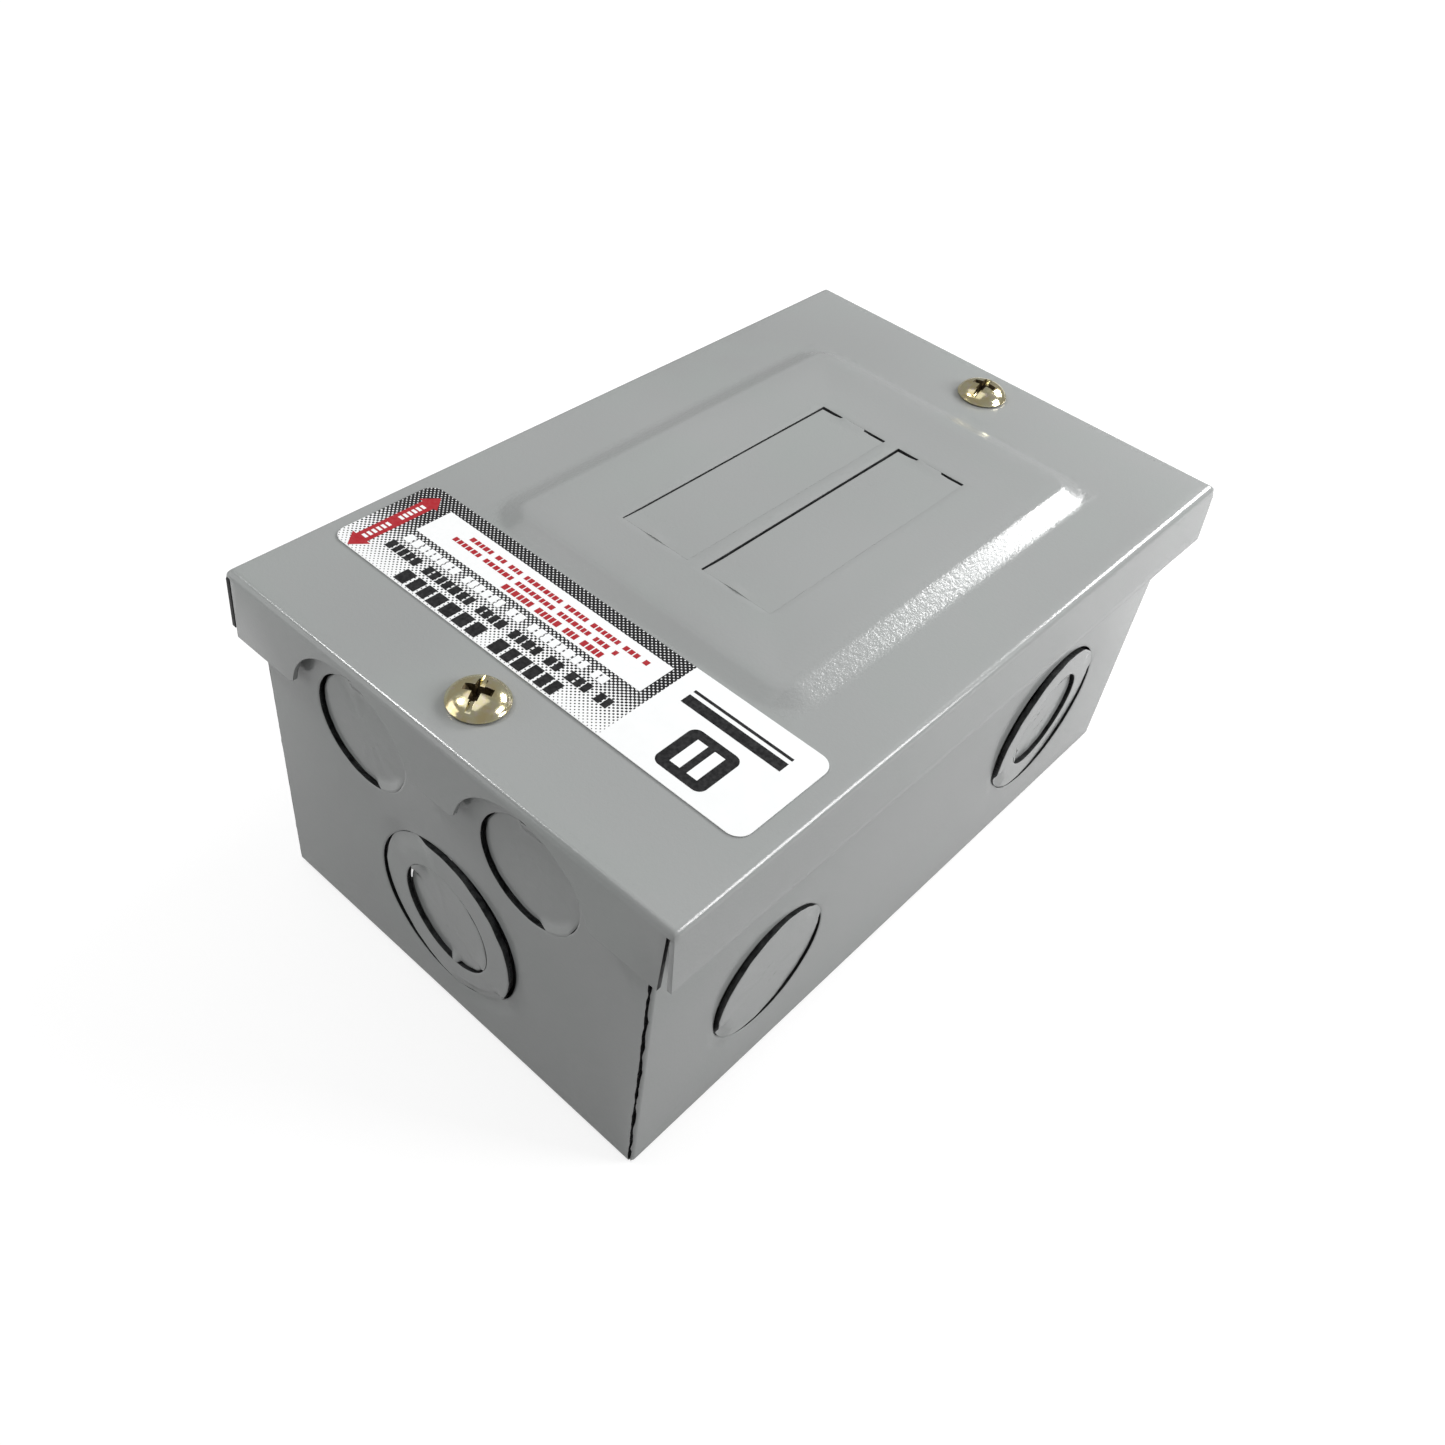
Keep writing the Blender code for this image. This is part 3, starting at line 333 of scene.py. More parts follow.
class Skin:
    """A sheet-metal surface in the making, from grids and flat panels whose shared points are welded."""

    def __init__(self):
        self.bm = bmesh.new()
        self.points = {}

    def vert(self, point):
        key = tuple(round(value * 2e6) for value in point)
        if key not in self.points:
            self.points[key] = self.bm.verts.new(point)
        return self.points[key]

    def turn_outward(self, faces, out):
        total = Vector()
        for face in faces:
            face.normal_update()
            total += face.normal * face.calc_area()
        if total.dot(out) < 0:
            bmesh.ops.reverse_faces(self.bm, faces=faces)

    def grid(self, rows, out, closed=False, skip=None):
        """Quads between rows of points. skip(row, column) leaves one out."""
        rows = [[self.vert(point) for point in row] for row in rows]
        faces = []
        for i, (first, second) in enumerate(zip(rows, rows[1:])):
            count = len(first)
            for j in range(count if closed else count - 1):
                k = (j + 1) % count
                if skip and skip(i, j):
                    continue
                corners = []
                for vert in (first[j], first[k], second[k], second[j]):
                    if vert not in corners:
                        corners.append(vert)
                if len(corners) > 2:
                    faces.append(self.bm.faces.new(corners))
        self.turn_outward(faces, Vector(out))

    def panel(self, loops, out):
        """A flat panel between an outer loop of points and any holes."""
        edges = []
        for loop in loops:
            verts = [self.vert(point) for point in loop]
            for first, second in zip(verts, verts[1:] + verts[:1]):
                if first is not second:
                    edge = self.bm.edges.get((first, second)) or self.bm.edges.new((first, second))
                    edges.append(edge)
        edges = list(dict.fromkeys(edges))
        made = bmesh.ops.triangle_fill(self.bm, use_beauty=True, edges=edges, normal=Vector(out))
        faces = [item for item in made["geom"] if isinstance(item, bmesh.types.BMFace)]
        self.turn_outward(faces, Vector(out))


def settle(obj, angle):
    """Applies the modifiers, and shades the result smooth but for its sharp edges."""
    graph = bpy.context.evaluated_depsgraph_get()
    mesh = bpy.data.meshes.new_from_object(obj.evaluated_get(graph), depsgraph=graph)
    obj.modifiers.clear()
    obj.data = mesh
    mesh.shade_smooth()
    mesh.set_sharp_from_angle(angle=radians(angle))


def add_object(name, data):
    obj = bpy.data.objects.new(name, data)
    bpy.context.scene.collection.objects.link(obj)
    return obj


def add_mesh(name, bm, *materials):
    """A new object with that mesh, which is used up."""
    mesh = bpy.data.meshes.new(name)
    bm.to_mesh(mesh)
    bm.free()
    for material in materials:
        mesh.materials.append(material)
    return add_object(name, mesh)


def soften(obj, width, degrees):
    """Rounds the edges that turn by more than that angle."""
    edges = obj.modifiers.new("Edges", "BEVEL")
    edges.width = width
    edges.segments = 2
    edges.limit_method = "ANGLE"
    edges.angle_limit = radians(degrees)


def join_frame(obj, body, node=""):
    """Makes the object ride on a body, and stand in for a node of the CAD model."""
    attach(obj, body)
    if node:
        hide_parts(node)


def piece(bm, name, body, thickness, node="", materials=PAINT_AND_RIM_SHADE, bevel=0.0, even=True):
    """The mesh as a piece that rides on a body. With a thickness, it is a sheet whose outer face is the mesh."""
    obj = add_mesh(name, bm, *materials)
    if thickness:
        sheet = obj.modifiers.new("Sheet", "SOLIDIFY")
        sheet.thickness = thickness
        sheet.offset = -1.0
        sheet.use_even_offset = even
        # The rims take the second material: for painted sheet, the painted shade of its cut edges.
        sheet.material_offset_rim = 1
    if bevel:
        soften(obj, bevel, 30)
    settle(obj, 38)
    join_frame(obj, body, node)
    return obj


def steps(start, end, size):
    """Evenly spaced numbers from start to end, about that far apart."""
    count = max(1, round(abs(end - start) / size))
    return [start + (end - start) * number / count for number in range(count + 1)]


def chain(*runs):
    """Runs of numbers joined into one rising list."""
    joined = []
    for run in runs:
        for value in run:
            if not joined or value > joined[-1] + 1e-7:
                joined.append(value)
    return joined


def ease(share):
    """0 to 1 with level ends."""
    share = min(1.0, max(0.0, share))
    return share * share * (3 - 2 * share)


def ramp_ease(share):
    """0 to 1 along a straight slope with rounded ends."""
    share = min(1.0, max(0.0, share))
    if share > 0.5:
        return 1 - ramp_ease(1 - share)
    if share < RAMP_EASE:
        return share * share / (2 * RAMP_EASE * (1 - RAMP_EASE))
    return (share - RAMP_EASE / 2) / (1 - RAMP_EASE)


def bell(distance, width):
    return exp(-((distance / width) ** 2))


def jitter(place, seed, amount):
    """Smooth noise along one number, between minus and plus that amount."""
    return amount * noise.noise(Vector((place, 17.3 * seed, 0.0)))


def around(centre, radius, angle):
    return centre[0] + radius * cos(angle), centre[1] + radius * sin(angle)


def turns(sides):
    """The directions of the corners of a regular polygon."""
    return [tau * number / sides for number in range(sides)]


def circle(centre, radius, sides):
    return [(*around(centre, radius, angle), centre[2]) for angle in turns(sides)]


def apart(first, second):
    """The angle between two directions."""
    return abs((first - second + pi) % tau - pi)


# The cover.


def cover_height(x, y):
    """How far the cover's face stands above its flat rim."""
    over_x = abs(x) - PANEL_HALF[0] + PANEL_CORNER
    over_y = abs(y - PANEL_MIDDLE_Y) - PANEL_HALF[1] + PANEL_CORNER
    outside = hypot(max(over_x, 0.0), max(over_y, 0.0)) + min(max(over_x, over_y), 0.0)
    depth = PANEL_CORNER - outside
    height = PANEL_RISE * ramp_ease(depth / RAMP)
    height += RIM_RISE * bell(depth - RAMP - 0.35 * RIM_RUN, RIM_RUN)
    height -= DISH * ease((depth - RAMP) / 0.020)
    height -= 0.00013 * bell(hypot((x - 0.004) / 2.2, y - 0.0595), 0.0016)
    return height + 0.00006 * noise.noise(Vector((x, y, 0.0)) * 28.0)


def fold_line(start, sign=1):
    """(place, drop) pairs across a fold, from the flat to the upright side."""
    points = []
    for number in range(1, FOLD_STEPS + 1):
        angle = pi / 2 * number / FOLD_STEPS
        points.append((sign * (start + FOLD * sin(angle)), FOLD * (1 - cos(angle))))
    return points


def with_folds(flat, half):
    """(place, drop) pairs right across the cover: a fold, the flat places, and the other fold."""
    edge = half - FOLD
    return fold_line(edge, -1)[::-1] + [(value, 0.0) for value in flat] + fold_line(edge)


def cover_lines():
    """The grid lines of the cover's face along X and along Y."""
    slot_in, slot_out = SLOT_X - SLOT_HALF[0], SLOT_X + SLOT_HALF[0]
    edge = HALF_WIDTH - FOLD
    right = chain(
        [0.0], steps(slot_in, slot_out, 0.0013), steps(slot_out, 0.0285, 0.0013), steps(0.0285, 0.0380, 0.00035),
        steps(0.0380, edge, 0.0016),
    )
    x_lines = with_folds([-value for value in right[:0:-1]] + right, HALF_WIDTH)
    low, high = PANEL_MIDDLE_Y - PANEL_HALF[1], PANEL_MIDDLE_Y + PANEL_HALF[1]
    slot_low, slot_high = SLOT_MIDDLE_Y - SLOT_HALF[1], SLOT_MIDDLE_Y + SLOT_HALF[1]
    edge = HALF_LENGTH - FOLD
    flat = chain(
        steps(-edge, low - 0.002, 0.0018), steps(low - 0.002, low + 0.009, 0.00035),
        steps(low + 0.009, slot_low, 0.0013), steps(slot_low, slot_high, 0.0015),
        steps(slot_high, high - 0.009, 0.0013), steps(high - 0.009, high + 0.003, 0.00035),
        steps(high + 0.003, edge, 0.0015),
    )
    return x_lines, with_folds(flat, HALF_LENGTH)


def in_a_slot(x, y):
    return abs(abs(x) - SLOT_X) < SLOT_HALF[0] and abs(y - SLOT_MIDDLE_Y) < SLOT_HALF[1]


def face_point(x_line, y_line):
    """A point of the cover's face and folds. The two folds meet in a ball corner."""
    x, x_drop = x_line
    y, y_drop = y_line
    over_x = abs(x) - HALF_WIDTH + FOLD
    over_y = abs(y) - HALF_LENGTH + FOLD
    if min(over_x, over_y) > 1e-7:
        share = (1 + max(over_x, over_y) / hypot(over_x, over_y)) / 2
        x = copysign(HALF_WIDTH - FOLD + share * over_x, x)
        y = copysign(HALF_LENGTH - FOLD + share * over_y, y)
    return (x, y, FACE + cover_height(x, y) - max(x_drop, y_drop))


def side_skirt(skin, sign, x_lines, y_lines):
    """A side skirt, which hangs from the fold and leans out a little."""
    fold_end = x_lines[-1] if sign > 0 else x_lines[0]
    places = [line for line in y_lines if abs(line[0]) <= HALF_LENGTH - SIDE_SKIRT_END]
    rows = []
    for drop in chain([FOLD], steps(FOLD + SLIT, SIDE_SKIRT, 0.0022)):
        share = (drop - FOLD) / (SIDE_SKIRT - FOLD)
        row = []
        for line in places:
            x, y, level = face_point(fold_end, line)
            square = ease((drop - FOLD) / SLIT)
            x += square * (fold_end[0] - x)
            y += square * (line[0] - y)
            wave = jitter(y * 60, sign, 0.00012) * share
            row.append((x + sign * (SIDE_FLARE * share + wave), y, level if drop == FOLD else FACE - drop))
        rows.append(row)
    skin.grid(rows, (sign, 0, 0))


def notch_arc(middle, foot):
    """The edge of a bite in an end skirt, from its -X end to its +X end, with small rounded lips."""
    x, z = middle
    half = sqrt(NOTCH_RADIUS**2 - (foot - z) ** 2)
    lip_angle = NOTCH_LIP / NOTCH_RADIUS
    start = atan2(foot - z, -half) - lip_angle
    end = atan2(foot - z, half) + lip_angle
    arc = [around(middle, NOTCH_RADIUS, angle) for angle in steps(start, end, radians(3))]
    return [(x - half - NOTCH_LIP, foot), *arc, (x + half + NOTCH_LIP, foot)]


def raised(points, distance):
    """An open run of (x, z) points moved up, square to itself."""
    moved = []
    for number, (x, z) in enumerate(points):
        before, after = points[max(number - 1, 0)], points[min(number + 1, len(points) - 1)]
        run = Vector((after[0] - before[0], after[1] - before[1])).normalized()
        moved.append((x - distance * run.y, z + distance * run.x))
    return moved


def end_skirt(skin, sign, x_lines, y_lines):
    """An end skirt: tapered at both ends, with a bite over each corner knockout."""
    fold_end = y_lines[-1] if sign > 0 else y_lines[0]
    top = [face_point(line, fold_end) for line in x_lines if abs(line[0]) < HALF_WIDTH - FOLD + 0.0001]
    lower = [(SKIRT_TAPERS[0] - HALF_WIDTH, SKIRT_FOOT)]
    for x_sign in (-1, 1):
        lower += notch_arc((x_sign * CORNER_KNOCKOUT[0], CORNER_KNOCKOUT[1]), SKIRT_FOOT)
    lower.append((HALF_WIDTH - SKIRT_TAPERS[1], SKIRT_FOOT))
    y = fold_end[0]
    below = [(x, y, z - SKIRT_MARGIN) for x, y, z in top]
    above = [(x, y, z) for x, z in raised(lower, SKIRT_MARGIN)]
    skin.grid([top, below], (0, sign, 0))
    skin.grid([[(x, y, z) for x, z in lower], above], (0, sign, 0))
    skin.panel([below + above[::-1]], (0, sign, 0))


def make_cover():
    x_lines, y_lines = cover_lines()
    skin = Skin()
    rows = [[face_point(x_line, y_line) for x_line in x_lines] for y_line in y_lines]

    def skip(row, column):
        x = (x_lines[column][0] + x_lines[column + 1][0]) / 2
        y = (y_lines[row][0] + y_lines[row + 1][0]) / 2
        return in_a_slot(x, y)

    skin.grid(rows, UP, skip=skip)
    for sign in SIDES.values():
        side_skirt(skin, sign, x_lines, y_lines)
    for sign in ENDS.values():
        end_skirt(skin, sign, x_lines, y_lines)
    sheet = [COVER_PAINT, RIM_SHADE]
    cover = piece(skin.bm, "cover_shell", "cover", COVER_SHEET, "cover", sheet, bevel=0.00014)
    cover.data.materials.clear()
    for material in (COVER_PAINT, RIM_SHADE, SLIT_SHADE):
        cover.data.materials.append(material)
    # Painted shade: the rims of the sheet already take the dark rim material; the slot rims are set to it again, and
    # the faces in the slits at the corners take the darker slit material.
    for face in cover.data.polygons:
        if abs(face.normal.z) >= 0.5:
            continue
        if on_slot_rim(face.center, face.normal):
            face.material_index = 1
        elif face.center.z < FACE - FOLD and in_corner_slit(face.center, face.normal):
            face.material_index = 2


def on_slot_rim(centre, normal):
    """Whether an upright face is on the rim of a breaker slot, on a side where the blank is cut free; these faces get
    painted shade.
    """
    in_x = abs(abs(centre.x) - SLOT_X) < SLOT_HALF[0] + 0.0002
    in_y = abs(centre.y - SLOT_MIDDLE_Y) < SLOT_HALF[1] + 0.0002
    return in_x and in_y and max(normal.x, -normal.y) > 0.6


def in_corner_slit(centre, normal):
    """Whether an upright face is in the slit between a side skirt and an end skirt; these faces get painted shade."""
    x, y = abs(centre.x), abs(centre.y)
    across = abs(normal.x) > 0.6 and x > HALF_WIDTH - 0.0030
    end_cut = across and y > HALF_LENGTH - COVER_SHEET and x < HALF_WIDTH - 0.0006
    inside = across and y > HALF_LENGTH - 0.0030 and normal.x * centre.x < 0
    side_cut = centre.x < COVER_SHEET - HALF_WIDTH + 0.0002 and y > HALF_LENGTH - 0.0006
    return end_cut or inside or (side_cut and abs(normal.y) > 0.6 and centre.z > FACE - SIDE_SKIRT - 0.0003)


TIE_HALF = 0.0026  # half the width of the tie at each end of a twist-out
END_GAP = 0.00062
SHUT_GAP = 0.00002
OPEN_GAPS = {"left": 0.00046, "right": 0.00028}


def make_twist_out(side):
    """A breaker-slot blank: cut free along its -X edge and its far end, but for a tie, and pressed shut elsewhere."""
    middle = SIDES[side] * SLOT_X
    start_x = middle - SLOT_HALF[0] + OPEN_GAPS[side]
    end_x = middle + SLOT_HALF[0] - SHUT_GAP
    near, far = SLOT_MIDDLE_Y - SLOT_HALF[1], SLOT_MIDDLE_Y + SLOT_HALF[1]
    tie_low, tie_high = middle - TIE_HALF, middle + TIE_HALF
    x_places = chain(
        steps(start_x, tie_low - 0.0004, 0.0008), [tie_low], steps(tie_low + 0.0002, tie_high - 0.0002, 0.0006),
        [tie_high], steps(tie_high + 0.0004, end_x, 0.0008),
    )
    shares = chain(steps(0.0, 0.06, 0.006), steps(0.06, 0.94, 0.022), steps(0.94, 1.0, 0.006))
    rows = []
    for share in shares:
        row = []
        for x in x_places:
            tied = abs(x - middle) <= TIE_HALF + 1e-7
            last = far - (SHUT_GAP if tied else END_GAP)
            first = near + SHUT_GAP
            y = first + share * (last - first)
            by_tie = ease(1 - (far - y) / 0.003) * ease(2 - abs(x - middle) / TIE_HALF)
            hold = max(by_tie, ease(1 - (y - near) / 0.005))
            sag = 0.00016 * (1 - (x - start_x) / (end_x - start_x)) ** 2 + 0.00010 * ease((y - far + 0.02) / 0.02)
            tab = 0.00020 * bell(x - middle, 0.0020) * ease(1 - (y - near) / 0.0022)
            tab += 0.00022 * bell(x - middle + TIE_HALF, 0.0007) * ease(1 - (far - y) / 0.0012)
            row.append((x, y, FACE + cover_height(x, y) - sag * (1 - hold) + tab))
        rows.append(row)
    skin = Skin()
    skin.grid(rows, UP)
    name = f"twist_out_{side}"
    blank = piece(skin.bm, f"{name}_blank", name, COVER_SHEET, name)
    # Painted shade: the blank's rims keep the dark rim material where they face the open cuts, and get the grey paint
    # where they face +X and the near end.
    for face in blank.data.polygons:
        if max(face.normal.x, -face.normal.y) > 0.6:
            face.material_index = 0


# The enclosure.

CORNER_ROUND = 0.0009  # outer radius of the walls' upright corners
SEAM_X = WALL_X - 0.0007
SEAM_WIDTH = 0.00050
STRIP_INSET = 0.00012  # the side wall's turned-in strip lies this far behind the end wall's face
EAR_HALF_WIDTH = 0.0120
EAR_DEPTH = 0.0140
EAR_HOLE = 0.0024
EAR_RELIEF = 0.0008  # width of the cuts beside an ear
COVER_SCREW_Y = 0.0697
HOLE_SIDES = 72


class Wall:
    """A flat wall's own axes: across it, up it and out of it."""

    def __init__(self, letter, sign):
        self.out = Vector((sign, 0, 0)) if letter == "x" else Vector((0, sign, 0))
        self.across = Vector((0, 1, 0)) if letter == "x" else Vector((1, 0, 0))
        self.level = WALL_X if letter == "x" else WALL_Y

    def point(self, across, height, stand=0.0):
        return self.across * across + UP * height + self.out * (self.level + stand)


class Dent:
    """A place on a punched hole's rim where the tie has dragged the sheet in."""

    def __init__(self, degrees, half_width, depth, run):
        self.angle = radians(degrees)
        self.half = radians(half_width)
        self.depth = depth
        self.run = run

    def level(self, reach, angle):
        """How far the sheet stands out, at that reach beyond the rim."""
        return -self.depth * bell(apart(angle, self.angle), self.half) * ease(1 - reach / self.run)


def hole_rows(wall, place, radius, seed, dents):
    """The rolled edge of a punched hole, as loops of points from the wall's face to the hole."""
    bands = [(reach, 0.0) for reach in steps(max(dent.run for dent in dents), LIP, 0.0005)[:-1]] if dents else []
    bands += [(LIP * (1 - share), share) for share in (0.0, 0.4, 0.75, 1.0)]
    rows = []
    for reach, share in bands:
        row = []
        for angle in turns(HOLE_SIDES):
            wave = jitter(5 * cos(angle) + 9, seed, 0.00006) + jitter(40 * angle, seed, 0.00004)
            at = reach + wave * share
            level = sum(dent.level(at, angle) for dent in dents) - LIP_DROP * share * share
            row.append(wall.point(*around(place, radius + at, angle), level))
        rows.append(row)
    return rows


def fill_wall(skin, wall, outline, holes, seed):
    """The wall's flat panel with its punched holes, and their rolled edges."""
    loops = [outline]
    for number, hole in enumerate(holes):
        rows = hole_rows(wall, *hole[:2], seed + number, hole[2])
        skin.grid(rows, wall.out, closed=True)
        loops.append(rows[0])
    skin.panel(loops, wall.out)


def seam_edge(seed, height):
    """How far a ragged cut edge strays at a height."""
    return jitter(height * 420, seed, 0.00022) + jitter(height * 2100, seed + 5, 0.00016)


WALL_LEVELS = chain(steps(FOLD, WALL_TOP, 0.0009))
END_DENTS = (Dent(130, 17, 0.00042, 0.0038), Dent(308, 21, 0.00042, 0.0038))
SIDE_DENTS = (Dent(SIDE_TIE, 11, 0.00015, 0.0030), Dent(210, 12, 0.00030, 0.0030))


def corner_path(x_sign, y_sign, stray):
    """The side wall's outer face round one corner, from its turned-in end to the start of its flat."""
    end_x = SEAM_X + SEAM_WIDTH / 2 + stray
    face_y = WALL_Y - STRIP_INSET
    centre = (WALL_X - CORNER_ROUND, face_y - CORNER_ROUND)
    start = acos(min(0.9, max(0.0, (end_x - centre[0]) / CORNER_ROUND)))
    path = [(x_sign * end_x, y_sign * (centre[1] + CORNER_ROUND * sin(start)))]
    for angle in steps(start, 0.0, start / 6)[1:]:
        x, y = around(centre, CORNER_ROUND, angle)
        path.append((x_sign * x, y_sign * y))
    return path


def bend_in(point, out, angle):
    """A point of a wall's foot carried round the fold into the back."""
    return Vector(point) - Vector(out) * FOLD * (1 - cos(angle)) - UP * FOLD * sin(angle)


FOLD_ANGLES = steps(0.0, pi / 2, pi / 2 / 6)


def make_side_wall(skin, x_sign):
    """A side wall with its turned-in strips. Gives back the points where its foot meets the back."""
    wall = Wall("x", x_sign)
    flat_y = WALL_Y - STRIP_INSET - CORNER_ROUND
    uprights = {}
    feet = []
    for y_sign in (-1, 1):
        rows = []
        for height in WALL_LEVELS:
            stray = seam_edge(3 * x_sign + y_sign + 20, height)
            rows.append([(x, y, height) for x, y in corner_path(x_sign, y_sign, stray)])
        skin.grid(rows, (x_sign, y_sign, 0))
        uprights[y_sign] = [row[-1] for row in rows]
        foot = []
        for x, y, height in rows[0]:
            past = x_sign * max(0.0, x_sign * x - WALL_X + CORNER_ROUND)
            foot.append(((x, y, height), Vector((past, y - y_sign * flat_y, 0)).normalized()))
        feet.append(foot)
    ends = feet[0] + feet[1][::-1]
    fold = [[bend_in(point, out, angle) for point, out in ends] for angle in FOLD_ANGLES]
    skin.grid(fold, (x_sign, 0, -1))
    holes = [(UPPER_KNOCKOUT, THREE_QUARTER_INCH, SIDE_DENTS), (LOWER_KNOCKOUT, ONE_INCH, SIDE_DENTS)]
    fill_wall(skin, wall, uprights[-1] + uprights[1][::-1], holes, 40 + x_sign)
    return fold[-1]


def make_end_wall(skin, y_sign):
    """An end wall with its ear for the cover screw. Gives back the points where its foot meets the back."""
    wall = Wall("y", y_sign)
    edges = {}
    for x_sign in (-1, 1):
        edge = []
        for height in WALL_LEVELS:
            x = SEAM_X - SEAM_WIDTH / 2 - seam_edge(7 * x_sign + y_sign + 60, height)
            edge.append(wall.point(x_sign * x, height))
        edges[x_sign] = edge
    ear_fold = [(EAR_TOP - FOLD * (1 - sin(angle)), -FOLD * (1 - cos(angle))) for angle in FOLD_ANGLES]
    ear_x = steps(-EAR_HALF_WIDTH, EAR_HALF_WIDTH, 0.004)
    ear_foot = [wall.point(x, ear_fold[0][0]) for x in ear_x]
    relief = EAR_HALF_WIDTH + EAR_RELIEF
    top = [wall.point(-relief, WALL_TOP), wall.point(-relief, ear_fold[0][0])]
    top += ear_foot + [wall.point(relief, ear_fold[0][0]), wall.point(relief, WALL_TOP)]
    holes = [((x_sign * CORNER_KNOCKOUT[0], CORNER_KNOCKOUT[1]), HALF_INCH, ()) for x_sign in (-1, 1)]
    holes.append(((0.0, CENTRE_KNOCKOUT_Z), ONE_INCH, END_DENTS))
    fill_wall(skin, wall, edges[-1] + top + edges[1][::-1], holes, 80 + 3 * y_sign)
    skin.grid([[wall.point(x, height, stand) for x in ear_x] for height, stand in ear_fold], (0, y_sign, 1))
    make_ear_plate(skin, wall, ear_x)
    feet = [edges[-1][0], edges[1][0]]
    fold = [[bend_in(point, wall.out, angle) for point in feet] for angle in FOLD_ANGLES]
    skin.grid(fold, (0, y_sign, -1))
    return fold[-1]


EAR_TOP = WALL_TOP - 0.0002
EAR_CORNER = 0.0030


def make_ear_plate(skin, wall, ear_x):
    """The flat of an ear, with its screw hole."""
    sign = wall.out.y
    corner_y = WALL_Y - SHEET - EAR_DEPTH + EAR_CORNER
    outline = [(x, sign * (WALL_Y - FOLD), EAR_TOP) for x in ear_x]
    for x_sign, angles in ((1, steps(0, -90, 15)), (-1, steps(-90, 0, 15))):
        for angle in angles:
            x, y = around((EAR_HALF_WIDTH - EAR_CORNER, corner_y), EAR_CORNER, radians(angle))
            outline.append((x_sign * x, sign * y, EAR_TOP))
    skin.panel([outline, circle((0.0, sign * COVER_SCREW_Y, EAR_TOP), EAR_HOLE, 32)], UP)


MOUNT_HOLE_X = 0.0290
MOUNT_HOLE_RADIUS = 0.0024
KEYHOLE = (-0.0560, 0.0042)  # y and radius of its head
KEYHOLE_END_Y = -0.0640
ROUND_HOLE_Y = 0.0620
BACK_SCREWS = [(0.0, 0.0040), (0.0, 0.0320), (-0.0350, 0.0217), (-0.0350, -0.0247)]
BACK_SCREW_HOLE = 0.0022


def keyhole(x):
    """The outline of a keyhole: a round head with a narrower slot towards -Y."""
    head_y, head_radius = KEYHOLE
    meet = asin(MOUNT_HOLE_RADIUS / head_radius)
    head = steps(-pi / 2 + meet, 3 * pi / 2 - meet, radians(12))
    points = [around((x, head_y), head_radius, angle) for angle in head]
    points += [around((x, KEYHOLE_END_Y), MOUNT_HOLE_RADIUS, angle) for angle in steps(pi, tau, radians(20))]
    return [(*point, 0.0) for point in points]


def make_enclosure():
    skin = Skin()
    left, right = make_side_wall(skin, 1), make_side_wall(skin, -1)
    top, bottom = make_end_wall(skin, -1), make_end_wall(skin, 1)
    loops = [top + left + bottom[::-1] + right[::-1]]
    for sign in SIDES.values():
        loops.append(keyhole(sign * MOUNT_HOLE_X))
        loops.append(circle((sign * MOUNT_HOLE_X, ROUND_HOLE_Y, 0.0), MOUNT_HOLE_RADIUS, 24))
    for x, y in BACK_SCREWS:
        loops.append(circle((x, y, 0.0), BACK_SCREW_HOLE, 20))
    skin.panel(loops, -UP)
    # Painted shade: the shell's rims, at the seams and round every hole, take the dark rim material.
    shell = piece(skin.bm, "enclosure_shell", "enclosure", SHEET, "enclosure", even=False)
    for vert in shell.data.vertices:
        vert.co.z = max(vert.co.z, 0.0)


LAP_START_X = 0.0340


def make_laps():
    """The tongues of the side walls behind the end walls, which close the corner seams from inside."""
    skin = Skin()
    for x_sign in SIDES.values():
        for y_sign in ENDS.values():
            y = y_sign * (WALL_Y - SHEET - 0.0003)
            rows = []
            for height in steps(0.0030, WALL_TOP - 0.0009, 0.0057):
                slant = 0.0016 * ease(1 - (height - 0.003) / 0.004)
                end = x_sign * (WALL_X - SHEET - 0.0002)
                rows.append([(x_sign * (LAP_START_X + slant), y, height), (end, y, height)])
            skin.grid(rows, (0, y_sign, 0))
    # The laps' rims take the painted shade of cut edges too.
    piece(skin.bm, "corner_laps", "enclosure", 0.0010, bevel=0.0001)


# Knockouts.


class Tie:
    """A place on a knockout's rim where it still hangs on the sheet round it."""

    def __init__(self, degrees, half_width, reach):
        self.angle = radians(degrees)
        self.half = radians(half_width)
        self.reach = reach

    def hold(self, angle):
        """1 in the middle of the tie, falling to 0 beside it."""
        return ease(1 - (apart(angle, self.angle) - 0.6 * self.half) / (0.8 * self.half))


class Lean:
    """How far a punched slug stands out of the wall, on a plane that rises towards one side."""

    def __init__(self, stand, rise=0.0, degrees=0.0, radius=1.0):
        self.stand = stand
        self.slope = rise / radius
        self.direction = radians(degrees)

    def level(self, reach, angle):
        return self.stand + self.slope * reach * cos(angle - self.direction)


WALL_FACE = Lean(0.0)
DENTED = Lean(-0.00040)


